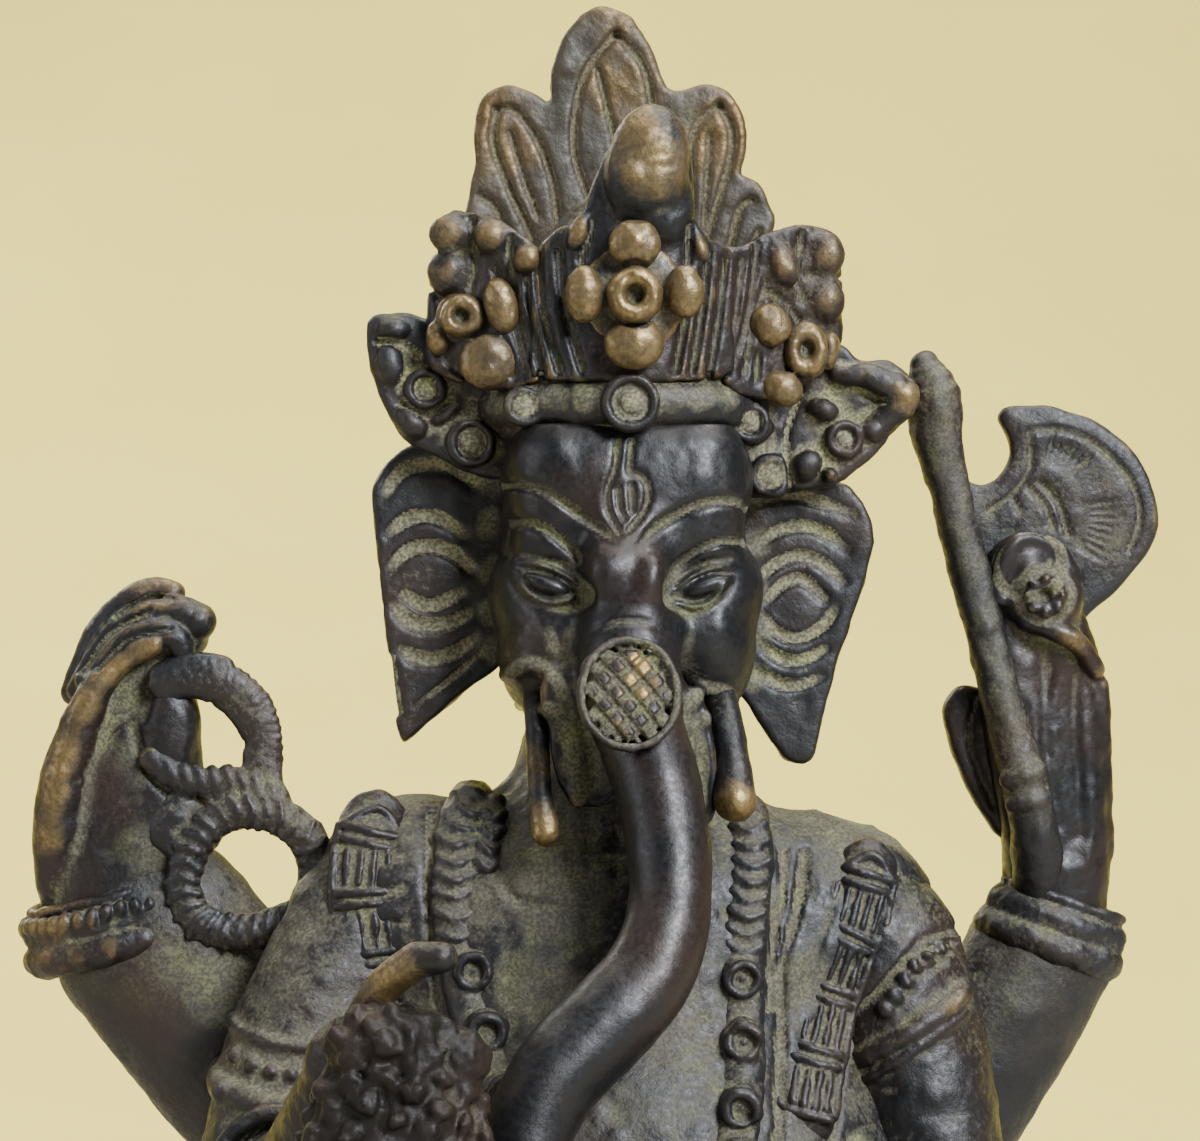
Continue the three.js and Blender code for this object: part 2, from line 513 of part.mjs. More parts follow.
// ---- The group -------------------------------------------------------------------------------------
const ganesha = new THREE.Group();
for (const [name, shape, metal] of pieces) {
  const { numProp, vertProperties, triVerts } = shape.getMesh();
  const geometry = new THREE.BufferGeometry();
  const positions = new Float32Array((vertProperties.length / numProp) * 3);
  for (let i = 0; i < positions.length / 3; i++)
    positions.set(vertProperties.subarray(i * numProp, i * numProp + 3), i * 3);
  geometry.setAttribute("position", new THREE.BufferAttribute(positions, 3));
  geometry.setIndex(new THREE.BufferAttribute(triVerts, 1));
  const mesh = new THREE.Mesh(geometry, metal());
  mesh.name = name;
  ganesha.add(mesh);
}

export default ganesha;
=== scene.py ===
import bpy
import copy
import math
import numpy as np
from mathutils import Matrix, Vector


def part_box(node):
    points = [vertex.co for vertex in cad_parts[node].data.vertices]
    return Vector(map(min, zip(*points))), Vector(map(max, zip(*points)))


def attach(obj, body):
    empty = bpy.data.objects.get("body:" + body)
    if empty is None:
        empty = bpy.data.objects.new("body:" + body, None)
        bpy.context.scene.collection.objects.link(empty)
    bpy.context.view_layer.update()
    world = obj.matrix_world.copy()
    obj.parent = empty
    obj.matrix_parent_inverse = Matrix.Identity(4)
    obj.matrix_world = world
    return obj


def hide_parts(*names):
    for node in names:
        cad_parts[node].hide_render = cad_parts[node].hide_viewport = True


MM = 0.001
FAR = 9  # the distance that stands for empty space, in millimetres
REACH = 2.5  # how far from a limb's surface its distance is worked out
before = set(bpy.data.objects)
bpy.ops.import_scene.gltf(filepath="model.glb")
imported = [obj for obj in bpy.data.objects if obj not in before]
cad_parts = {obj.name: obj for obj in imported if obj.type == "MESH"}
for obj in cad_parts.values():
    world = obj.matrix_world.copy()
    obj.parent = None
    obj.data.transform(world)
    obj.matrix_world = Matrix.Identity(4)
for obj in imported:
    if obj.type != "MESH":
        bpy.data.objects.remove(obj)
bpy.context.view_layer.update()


# ---- Curves --------------------------------------------------------------------------------------
def smooth(points, step, closed=False):
    """Points along the Catmull-Rom curve through the given ones, no more than a step apart."""
    p = np.array(points, float)
    spans = len(p) if closed else len(p) - 1
    ends = p[[-1, *range(len(p)), 0, 1]] if closed else np.vstack([2 * p[0] - p[1], p, 2 * p[-1] - p[-2]])
    curve = []
    for a, b, c, d in (ends[i:i + 4] for i in range(spans)):
        count = max(1, math.ceil(np.linalg.norm((c - b)[:3]) / step))
        t = np.arange(count)[:, None] / count
        square, cube = 2 * a - 5 * b + 4 * c - d, 3 * b - 3 * c + d - a
        curve.append(0.5 * (2 * b + (c - a) * t + square * t**2 + cube * t**3))
    return np.vstack(curve if closed else [*curve, p[-1:]])


def line_distance(curve, x, z, closed):
    """Distance in the front plane to a curve of (x, z, strength) points, and the strength nearest by."""
    x, z = x.reshape(-1, 1), z.reshape(1, -1)
    nearest = np.full((x.size, z.size), 1e9, np.float32)
    strength = np.ones_like(nearest)
    starts, stops = (curve, np.roll(curve, -1, 0)) if closed else (curve[:-1], curve[1:])
    for (ax, az, s), (bx, bz, e) in zip(starts, stops):
        ex, ez = bx - ax, bz - az
        t = np.clip(((x - ax) * ex + (z - az) * ez) / (ex * ex + ez * ez + 1e-9), 0, 1)
        away = (x - ax - ex * t) ** 2 + (z - az - ez * t) ** 2
        closer = away < nearest
        nearest = np.where(closer, away, nearest)
        strength = np.where(closer, s + (e - s) * t, strength)
    return np.sqrt(nearest), strength


def outline_distance(outline, x, z):
    """Signed distance in the front plane to a closed outline, negative inside."""
    away, _ = line_distance(np.column_stack([outline, np.ones(len(outline))]), x, z, closed=True)
    x, z = x.reshape(-1, 1), z.reshape(1, -1)
    inside = np.zeros(away.shape, bool)
    for (ax, az), (bx, bz) in zip(outline, np.roll(outline, -1, 0)):
        if az != bz:
            inside ^= ((az <= z) != (bz <= z)) & (x < ax + (z - az) / (bz - az) * (bx - ax))
    return np.where(inside, -away, away)


def turns(count):
    """Evenly spaced angles round a circle."""
    return [2 * math.pi * i / count for i in range(count)]


def circle(x, z, radius, count=12):
    """Points round a circle in the front plane."""
    return [(x + radius * math.cos(t), z + radius * math.sin(t)) for t in turns(count)]


# ---- Forms: each is its lowest corner, its highest corner and its distance function --------------
def ball(centre, radii, lean=0):
    """An ellipsoid, leaned in the front plane by an angle in degrees."""
    c, r = np.array(centre, float), np.ones(3) * radii
    sine, cosine = math.sin(math.radians(lean)), math.cos(math.radians(lean))

    def distance(x, y, z):
        u, v, w = x - c[0], y - c[1], z - c[2]
        u, w = u * cosine + w * sine, w * cosine - u * sine
        near = np.sqrt((u / r[0]) ** 2 + (v / r[1]) ** 2 + (w / r[2]) ** 2)
        slope = np.sqrt((u / r[0] ** 2) ** 2 + (v / r[1] ** 2) ** 2 + (w / r[2] ** 2) ** 2)
        return near * (near - 1) / (slope + 1e-6)

    return c - r.max(), c + r.max(), distance


def limb(points, flat=1.0, step=1.2, closed=False):
    """A round-ended limb through (x, y, z, radius) points; flat scales its depth."""
    curve = smooth(points, step, closed)
    low, high = (curve[:, :3] - curve[:, 3:]).min(0), (curve[:, :3] + curve[:, 3:]).max(0)
    stops = np.roll(curve, -1, 0) if closed else curve[1:]

    def distance(x, y, z):
        nearest = np.full((x.size, y.size, z.size), FAR, np.float32)
        for a, b in zip(curve, stops):
            reach = max(a[3], b[3]) + REACH
            low, high = np.minimum(a, b)[:3] - reach, np.maximum(a, b)[:3] + reach
            near = tuple(
                slice(*np.searchsorted(axis.ravel(), ends))
                for axis, ends in zip((x, y, z), zip(low, high))
            )
            u, v, w = x[near[0]] - a[0], (y[:, near[1]] - a[1]) / flat, z[:, :, near[2]] - a[2]
            e = (b - a)[:3] / (1, flat, 1)
            t = np.clip((u * e[0] + v * e[1] + w * e[2]) / (e @ e + 1e-9), 0, 1)
            away = np.sqrt((u - e[0] * t) ** 2 + (v - e[1] * t) ** 2 + (w - e[2] * t) ** 2)
            nearest[near] = np.minimum(nearest[near], away - a[3] - (b[3] - a[3]) * t)
        return nearest

    return low, high, distance


def plate(outline, y, half, edge, dome=0.0, spread=3.0):
    """A round-edged plate across the front plane, from a smooth closed outline.

    Its middle plane, y, may be a function of x and z; dome is its extra thickness away from the edge."""
    shape = smooth(outline, 1.0, closed=True)
    middle = y if callable(y) else (lambda x, z: y)
    around = np.array([middle(x, z) for x, z in shape], float)
    low = np.array([shape[:, 0].min(), around.min() - half - dome, shape[:, 1].min()])
    high = np.array([shape[:, 0].max(), around.max() + half + dome, shape[:, 1].max()])

    def distance(x, y, z):
        side = outline_distance(shape, x, z)[:, None, :]
        thick = half + dome * (1 - np.exp(np.minimum(side, 0) / spread))
        a, b = side + edge, np.abs(y - middle(x, z)) - thick + edge
        return np.minimum(np.maximum(a, b), 0) + np.hypot(np.maximum(a, 0), np.maximum(b, 0)) - edge

    return low, high, distance


def block(centre, half, edge):
    """A box with rounded edges."""
    c, h = np.array(centre, float), np.array(half, float)

    def distance(x, y, z):
        q = [np.abs(axis - c[i]) - h[i] + edge for i, axis in enumerate((x, y, z))]
        outside = np.sqrt(sum(np.maximum(v, 0) ** 2 for v in q))
        return outside + np.minimum(np.maximum(np.maximum(q[0], q[1]), q[2]), 0) - edge

    return c - h, c + h, distance


def hoop(centre, rx, rz, thick, depth):
    """A ring that faces the front, rx by rz to the middle of its section."""
    c = np.array(centre, float)
    reach = np.array([rx + thick, depth, rz + thick])

    def distance(x, y, z):
        u, w = (x - c[0]) / rx, (z - c[2]) / rz
        around = (np.hypot(u, w) - 1) * min(rx, rz)
        near = np.hypot(around / thick, (y - c[1]) / depth)
        return (near - 1) * min(thick, depth)

    return c - reach, c + reach, distance


# ---- Clay ----------------------------------------------------------------------------------------
class Clay:
    """A block of clay round a CAD node's box: a distance field in millimetres, negative inside.

    Besides the field it keeps a map of the front plane, silt, that says how thick the dust lies."""

    def __init__(self, node, cell, margin=3.0, above=None):
        low, high = (np.array(corner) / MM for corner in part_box(node))
        low, high = low - margin, high + margin
        low[2] = above or low[2]
        self.node = node
        self.cell = cell
        self.axes = [np.arange(a, b + cell, cell, dtype=np.float32) for a, b in zip(low, high)]
        self.field = np.full([len(axis) for axis in self.axes], FAR, np.float32)
        self.silt = np.zeros((len(self.axes[0]), len(self.axes[2])), np.float32)

    def slab(self, low, high):
        """The part of this clay between two heights."""
        part = copy.copy(self)
        kept = slice(*np.searchsorted(self.axes[2], (low, high)))
        part.axes = [*self.axes[:2], self.axes[2][kept]]
        part.field, part.silt = self.field[:, :, kept], self.silt[:, kept]
        return part

    def near(self, low, high):
        """The part of the grid between two corners, as slices and as open coordinates."""
        at = tuple(slice(*np.searchsorted(axis, ends)) for axis, ends in zip(self.axes, zip(low, high)))
        return at, *np.ix_(*(axis[part] for axis, part in zip(self.axes, at)))

    def add(self, *forms, blend=1.0):
        """Adds forms, with a fillet about as wide as the blend where they meet the clay."""
        for low, high, distance in forms:
            at, x, y, z = self.near(low - blend - 2, high + blend + 2)
            if self.field[at].size:
                self.field[at] = soft_min(self.field[at], distance(x, y, z), blend)
        return self

    def cut(self, *forms, blend=0.5):
        """Cuts forms out of the clay."""
        for low, high, distance in forms:
            at, x, y, z = self.near(low - blend - 2, high + blend + 2)
            if self.field[at].size:
                self.field[at] = -soft_min(-self.field[at], distance(x, y, z), blend)
        return self

    def press(self, path, width, depth, front=None, closed=False, power=2, silt=0.0):
        """Cuts a groove along (x, z) or (x, z, strength) points; a negative depth raises a ridge.

        A higher power makes its bottom flatter and its sides steeper; silt is how full of dust it lies."""
        path = [(*point, 1) if len(point) == 2 else point for point in path]
        curve = smooth(path, 0.6, closed)
        low, high = curve[:, :2].min(0) - 3 * width, curve[:, :2].max(0) + 3 * width
        back = self.axes[1][-1] + 1 if front is None else front
        at, x, _, z = self.near((low[0], self.axes[1][0], low[1]), (high[0], back, high[1]))
        if self.field[at].size:
            away, strength = line_distance(curve, x, z, closed)
            self.field[at] += (depth * strength * np.exp(-((away / width) ** power)))[:, None, :]
            bed = self.silt[at[0], at[2]]
            np.maximum(bed, silt * strength * np.exp(-((away / width) ** 4)), out=bed)
        return self

    def dust(self, x, z, radius, fill=1.0):
        """Lays dust on a round patch."""
        at, ax, _, az = self.near(
            (x - 2 * radius, self.axes[1][0], z - 2 * radius), (x + 2 * radius, 999, z + 2 * radius),
        )
        bed = self.silt[at[0], at[2]]
        away = np.hypot(ax[:, :, 0] - x, az[0] - z)
        np.maximum(bed, fill * np.exp(-((away / radius) ** 4)), out=bed)

    def front(self, x, z):
        """The y where a line of sight along +Y meets the clay, or the grid's back if it meets none."""
        i, k = np.abs(self.axes[0] - x).argmin(), np.abs(self.axes[2] - z).argmin()
        column = self.field[i, :, k]
        j = max(1, int(np.argmax(column < 0)))
        a, b = column[j - 1], column[j]
        return float(self.axes[1][j] - self.cell * b / (b - a)) if b < 0 <= a else float(self.axes[1][-1])

    def draped(self, path, radius, sink, step=1.0):
        """A limb's points along an (x, z) path laid on the front of this clay."""
        return [(x, self.front(x, z) + sink, z, radius) for x, z in smooth(path, step)]

    def noise(self, size, height, seed):
        """An uneven, hand-modelled surface: lumps of a size and a height, with finer ones on them."""
        random = np.random.default_rng(seed)
        for span, lift in ((size, height), (size * 0.42, height * 0.45)):
            counts = [max(4, int(len(axis) * self.cell / span) + 3) for axis in self.axes]
            lumps = random.standard_normal(counts).astype(np.float32)
            for i, axis in enumerate(self.axes):
                at = np.linspace(0, counts[i] - 1.001, len(axis))
                low, part = at.astype(int), (at % 1).astype(np.float32)
                part = part * part * (3 - 2 * part)
                shape = [-1 if j == i else 1 for j in range(3)]
                a, b = np.take(lumps, low, i), np.take(lumps, low + 1, i)
                lumps = a + (b - a) * part.reshape(shape)
            self.field += lumps * lift
        return self


def soft_min(a, b, blend):
    """The lower of two fields, rounded over where they are about equal."""
    h = np.maximum(blend - np.abs(a - b), 0) / max(blend, 1e-6)
    return np.minimum(a, b) - h * h * blend / 4


def spread_out(field, cells):
    """The field averaged over a cube that reaches a number of cells each way."""
    for axis in range(3):
        ends = [(cells + 1, cells) if i == axis else (0, 0) for i in range(3)]
        total = np.cumsum(np.pad(field, ends, mode="edge"), axis, dtype=np.float64)
        count = field.shape[axis]
        width = 2 * cells + 1
        upper, lower = (np.take(total, range(start, start + count), axis) for start in (width, 0))
        field = (upper - lower) / width
    return field


CORNERS = [(i, j, k) for i in (0, 1) for j in (0, 1) for k in (0, 1)]
EDGES = [(a, b) for a in range(8) for b in range(a + 1, 8) if bin(a ^ b).count("1") == 1]


def net(field, axes, cell):
    """Surface nets: a vertex in each cell that the surface crosses, a quad round each crossed grid edge."""
    inside = field < 0
    sx, sy, sz = (size - 1 for size in inside.shape)
    count = sum(inside[i:sx + i, j:sy + j, k:sz + k].astype(np.int8) for i, j, k in CORNERS)
    cells = np.argwhere((count > 0) & (count < 8))
    values = np.stack([field[tuple((cells + corner).T)] for corner in CORNERS], 1)
    total, crossings = np.zeros((len(cells), 3)), np.zeros((len(cells), 1))
    for a, b in EDGES:
        va, vb = values[:, a], values[:, b]
        crossed = (va < 0) != (vb < 0)
        t = np.where(crossed, va / np.where(crossed, va - vb, 1), 0)[:, None]
        start, way = np.array(CORNERS[a]), np.array(CORNERS[b]) - CORNERS[a]
        total += (start + way * t) * crossed[:, None]
        crossings += crossed[:, None]
    vertices = np.array([axis[0] for axis in axes]) + cell * (cells + total / crossings)
    number = np.full(count.shape, -1, np.int64)
    number[tuple(cells.T)] = np.arange(len(cells))
    quads = []
    for axis in range(3):
        one, two = [i for i in range(3) if i != axis]
        step = np.eye(3, dtype=int)
        ahead = np.take(inside, range(1, inside.shape[axis]), axis)
        behind = np.take(inside, range(inside.shape[axis] - 1), axis)
        at = np.argwhere(ahead != behind)
        in_one, in_two = ((at[:, i] > 0) & (at[:, i] < count.shape[i]) for i in (one, two))
        at = at[in_one & in_two]
        ring = [at - step[one] - step[two], at - step[two], at, at - step[one]]
        quad = np.stack([number[tuple(corner.T)] for corner in ring], 1)
        outward = behind[tuple(at.T)] ^ (axis == 1)
        quad[~outward] = quad[~outward][:, ::-1]
        quads.append(quad)
    return vertices, np.vstack(quads), cells


def largest(vertices, quads):
    """Which vertices belong to the biggest connected surface."""
    label = np.arange(len(vertices))
    while True:
        lowest = label[quads].min(1)
        fresh = label.copy()
        for corner in range(4):
            np.minimum.at(fresh, quads[:, corner], lowest)
        fresh = fresh[fresh]
        if (fresh == label).all():
            return label == np.bincount(label).argmax()
        label = fresh


FINE, BROAD = 0.7, 2.6  # reaches, in millimetres, of the two scales of relief


def cast(clay, metal, name=None, where=None, rubs_and_highlights=()):
    """Meshes the clay, inside a region if one is given, and sets it on the frame in place of its node.

    The list of rubs gives the (x, z, radius, strength) places made bright: mostly rubbed wear, though a few
    are painted highlights laid where a lamp's reflection falls; below zero they are kept free of dust."""
    field = clay.field
    if where is not None:
        field = np.maximum(field, where(*np.ix_(*clay.axes)))
    field = field.copy()
    for side in (0, -1):
        field[side], field[:, side], field[:, :, side] = 1, 1, 1
    vertices, quads, cells = net(field, clay.axes, clay.cell)
    kept = largest(vertices, quads)
    quads = (np.cumsum(kept) - 1)[quads[kept[quads[:, 0]]]]
    vertices, cells = vertices[kept], cells[kept]
    name = name or f"{clay.node}_casting"
    mesh = bpy.data.meshes.new(name)
    mesh.vertices.add(len(vertices))
    mesh.vertices.foreach_set("co", (vertices * MM).ravel())
    mesh.loops.add(quads.size)
    mesh.loops.foreach_set("vertex_index", quads.ravel())
    mesh.polygons.add(len(quads))
    mesh.polygons.foreach_set("loop_start", np.arange(len(quads)) * 4)
    mesh.polygons.foreach_set("use_smooth", np.ones(len(quads), bool))
    mesh.update(calc_edges=True)
    clipped = np.clip(clay.field, -1.6, 1.6)
    for scale, reach in (("relief", FINE), ("hollow", BROAD)):
        lift = spread_out(clipped, max(1, round(reach / clay.cell))) - clipped
        lift = np.mean([lift[tuple((cells + corner).T)] for corner in CORNERS], 0)
        mesh.attributes.new(scale, "FLOAT", "POINT").data.foreach_set("value", lift.astype(np.float32))
    # This map carries rubbed wear and painted highlights alike.
    rubbing_and_highlight = np.zeros(len(vertices), np.float32)
    for x, z, radius, strength in rubs_and_highlights:
        rubbing_and_highlight += strength * np.exp(-((vertices[:, 0] - x) ** 2 + (vertices[:, 2] - z) ** 2) / radius**2)
    mesh.attributes.new("rub", "FLOAT", "POINT").data.foreach_set("value", rubbing_and_highlight.astype(np.float32))
    normals = np.zeros(3 * len(vertices), np.float32)
    mesh.vertex_normals.foreach_get("vector", normals)
    facing = np.clip(-2 * normals[1::3], 0, 1)
    bed = clay.silt[cells[:, 0], cells[:, 2]] * facing
    mesh.attributes.new("silt", "FLOAT", "POINT").data.foreach_set("value", bed)
    piece = bpy.data.objects.new(name, mesh)
    bpy.context.collection.objects.link(piece)
    mesh.materials.append(METALS[metal])
    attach(piece, "root")
    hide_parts(clay.node)
    print(f"{name}: {len(vertices)} vertices")
    return piece


# ---- Metals --------------------------------------------------------------------------------------
class Nodes:
    """A material's nodes, added by short calls that each give back an output socket."""

    def __init__(self, name):
        self.material = bpy.data.materials.new(name)
        self.material.use_nodes = True
        self.tree = self.material.node_tree
        self.shader = self.tree.nodes["Principled BSDF"]
        self.place = self.add("ShaderNodeTexCoord", output="Object")

    def add(self, kind, output=0, inputs=(), **settings):
        node = self.tree.nodes.new(kind)
        for key, value in settings.items():
            setattr(node, key, value)
        for key, value in dict(inputs).items():
            self.feed(node.inputs[key], value)
        return node.outputs[output]

    def feed(self, socket, value):
        """Links an output to a socket, or sets the socket to a number or a colour."""
        if isinstance(value, bpy.types.NodeSocket):
            self.tree.links.new(value, socket)
        else:
            socket.default_value = (*value, 1) if isinstance(value, tuple) and len(value) == 3 else value

    def grain(self, size_mm, detail=3):
        """Noise from 0 to 1 whose lumps are about a size across."""
        inputs = {"Vector": self.place, "Scale": 1 / (size_mm * MM), "Detail": detail}
        return self.add("ShaderNodeTexNoise", inputs=inputs)

    def maths(self, operation, a, b):
        return self.add("ShaderNodeMath", inputs={0: a, 1: b}, operation=operation)

    def plus(self, a, b):
        return self.maths("ADD", a, b)

    def minus(self, a, b):
        return self.maths("SUBTRACT", a, b)

    def times(self, a, b):
        return self.maths("MULTIPLY", a, b)

    def higher(self, a, b):
        return self.maths("MAXIMUM", a, b)

    def fade(self, value, low, high, top=1.0):
        inputs = {"Value": value, "From Min": low, "From Max": high, "To Max": top}
        return self.add("ShaderNodeMapRange", inputs=inputs)

    def mix(self, factor, a, b):
        return self.add("ShaderNodeMix", output=2, inputs={0: factor, 6: a, 7: b}, data_type="RGBA")

    def blend(self, factor, a, b):
        return self.add("ShaderNodeMix", inputs={0: factor, 2: a, 3: b}, data_type="FLOAT")

    def attribute(self, name):
        return self.add("ShaderNodeAttribute", output="Fac", attribute_name=name)

    def finish(self, **sockets):
        for key, value in sockets.items():
            self.feed(self.shader.inputs[key.replace("_", " ")], value)
        return self.material


# Linear colours; BROWNS and RUST are pairs that mix like DARK and UMBER do.
DARK, UMBER, GOLD = (0.0062, 0.0062, 0.0072), (0.021, 0.0122, 0.009), (0.29, 0.205, 0.09)
RED_GOLD, BROWNS = (0.17, 0.115, 0.052), ((0.028, 0.023, 0.015), (0.052, 0.037, 0.021))
DUST, VERDIGRIS = (0.112, 0.103, 0.062), (0.16, 0.165, 0.068)
BROWN_DUST = (0.135, 0.11, 0.055)
RUST = ((0.008, 0.006, 0.0048), (0.021, 0.012, 0.0078))
PALE_DUST, LICHEN = (0.21, 0.195, 0.118), (0.25, 0.25, 0.105)


def patina(
    name, wear, dust, film, gloss, base=(DARK, UMBER), gold=GOLD, deposits=(DUST, VERDIGRIS), bumps=0.6,
    specular=0.5,
):
    """Cast bronze: dark, rubbed bright where it stands out, dusty in hollows, under a speckled film; the
    rub attribute makes it brighter, both for wear and for painted highlights.
    """
    n = Nodes(name)
    relief, hollow, rub = n.attribute("relief"), n.attribute("hollow"), n.attribute("rub")
    broad, middle, fine, pits = n.grain(12, 3), n.grain(2.2), n.grain(0.5, 5), n.grain(0.16, 2)
    ragged = n.times(n.minus(middle, 0.5), 0.2)
    raised = n.plus(n.times(relief, 0.5), n.times(hollow, 0.14))
    # The rub attribute raises this mask for real wear and also for painted highlights.
    edge = n.plus(n.plus(raised, ragged), n.times(rub, 0.22))
    worn_and_highlit = n.fade(edge, 0.28 - 0.24 * wear, 0.52 - 0.24 * wear)
    upward = n.add("ShaderNodeSeparateXYZ", "Z", {"Vector": n.add("ShaderNodeNewGeometry", "Normal")})
    settled = n.fade(upward, 0.2, 1.0, 0.08)
    depth = n.minus(n.plus(settled, ragged), n.plus(relief, n.times(hollow, 0.2)))
    lodged = n.fade(depth, 0.10 - 0.12 * dust, 0.24 - 0.12 * dust, 0.92)
    laid = n.plus(n.attribute("silt"), n.times(ragged, 2.2))
    lodged = n.higher(lodged, n.fade(laid, 0.3, 0.62, 0.95))
    cover = n.plus(n.times(settled, 2.5), n.times(n.plus(broad, fine), 0.5))
    cover = n.minus(cover, n.higher(relief, 0.0))
    haze = n.fade(cover, 0.72 - 0.36 * film, 1.0 - 0.36 * film, 0.85)
    lying = n.times(n.higher(lodged, haze), n.fade(rub, -0.8, 0.0))
    dusty = n.times(lying, n.minus(1.0, n.times(worn_and_highlit, 0.85)))
    bare = n.mix(n.fade(broad, 0.42, 0.66), *base)
    bright = n.mix(n.fade(fine, 0.3, 0.75), gold, tuple(0.35 * c for c in gold))
    deposit = n.mix(n.fade(n.grain(5, 2), 0.52, 0.68), *deposits)
    deposit = n.mix(n.fade(n.grain(0.34, 4), 0.42, 0.6), n.mix(0.62, deposit, DARK), deposit)
    colour = n.mix(dusty, n.mix(worn_and_highlit, bare, bright), deposit)
    metallic = n.times(n.blend(worn_and_highlit, 0.2, 0.9), n.minus(1.0, dusty))
    rough = n.blend(dusty, n.blend(n.fade(fine, 0.3, 0.7), gloss, gloss + 0.2), 0.9)
    height = n.plus(n.times(fine, 0.7), n.times(pits, n.blend(dusty, 0.25, 0.8)))
    bump = n.add("ShaderNodeBump", inputs={"Height": height, "Strength": bumps, "Distance": 0.16 * MM})
    sockets = {"Base_Color": colour, "Metallic": metallic, "Roughness": rough, "Normal": bump}
    return n.finish(Specular_IOR_Level=specular, **sockets)


def copper():
    """Dull copper sheet and wire with brown oxide blotches."""
    n = Nodes("copper")
    blotch = n.fade(n.grain(9, 4), 0.35, 0.65)
    colour = n.mix(blotch, (0.30, 0.11, 0.06), (0.10, 0.05, 0.035))
    bump = n.add("ShaderNodeBump", inputs={"Height": n.grain(0.6), "Strength": 0.4, "Distance": 0.1 * MM})
    return n.finish(Base_Color=colour, Metallic=0.85, Roughness=n.blend(blotch, 0.38, 0.65), Normal=bump)


METALS = {
    "polished": patina(
        "polished_patina", wear=0.2, dust=0.36, film=0, gloss=0.31, bumps=0.3, specular=0.4,
    ),
    "dark": patina("dark_patina", wear=0.3, dust=0.65, film=0.5, gloss=0.36, specular=0.4),
    "dusty": patina("dusty_patina", wear=0.05, dust=0.95, film=0.74, gloss=0.4),
    "worn": patina("worn_bronze", wear=1.0, dust=0.7, film=0.2, gloss=0.3),
    "crusted": patina(
        "crusted_patina", wear=0.05, dust=0.9, film=0.5, gloss=0.4, deposits=(PALE_DUST, LICHEN),
    ),
    "plume": patina(
        "plume_patina", wear=0.5, dust=0.9, film=0.7, gloss=0.42, base=BROWNS, gold=RED_GOLD,
        deposits=(BROWN_DUST, VERDIGRIS),
    ),
    "lattice": patina("lattice_patina", wear=-0.6, dust=0.6, film=0.15, gloss=0.36, specular=0.4),
    "heap": patina("heap_patina", wear=0.3, dust=0.3, film=0, gloss=0.46, base=RUST, specular=0.25),
    "copper": copper(),
}


# ---- The head ------------------------------------------------------------------------------------
def grooves(clay, paths, width, depth, front=None, power=2, silt=0.0):
    """Presses the same groove along several paths."""
    for path in paths:
        clay.press(path, width, depth, front, power=power, silt=silt)


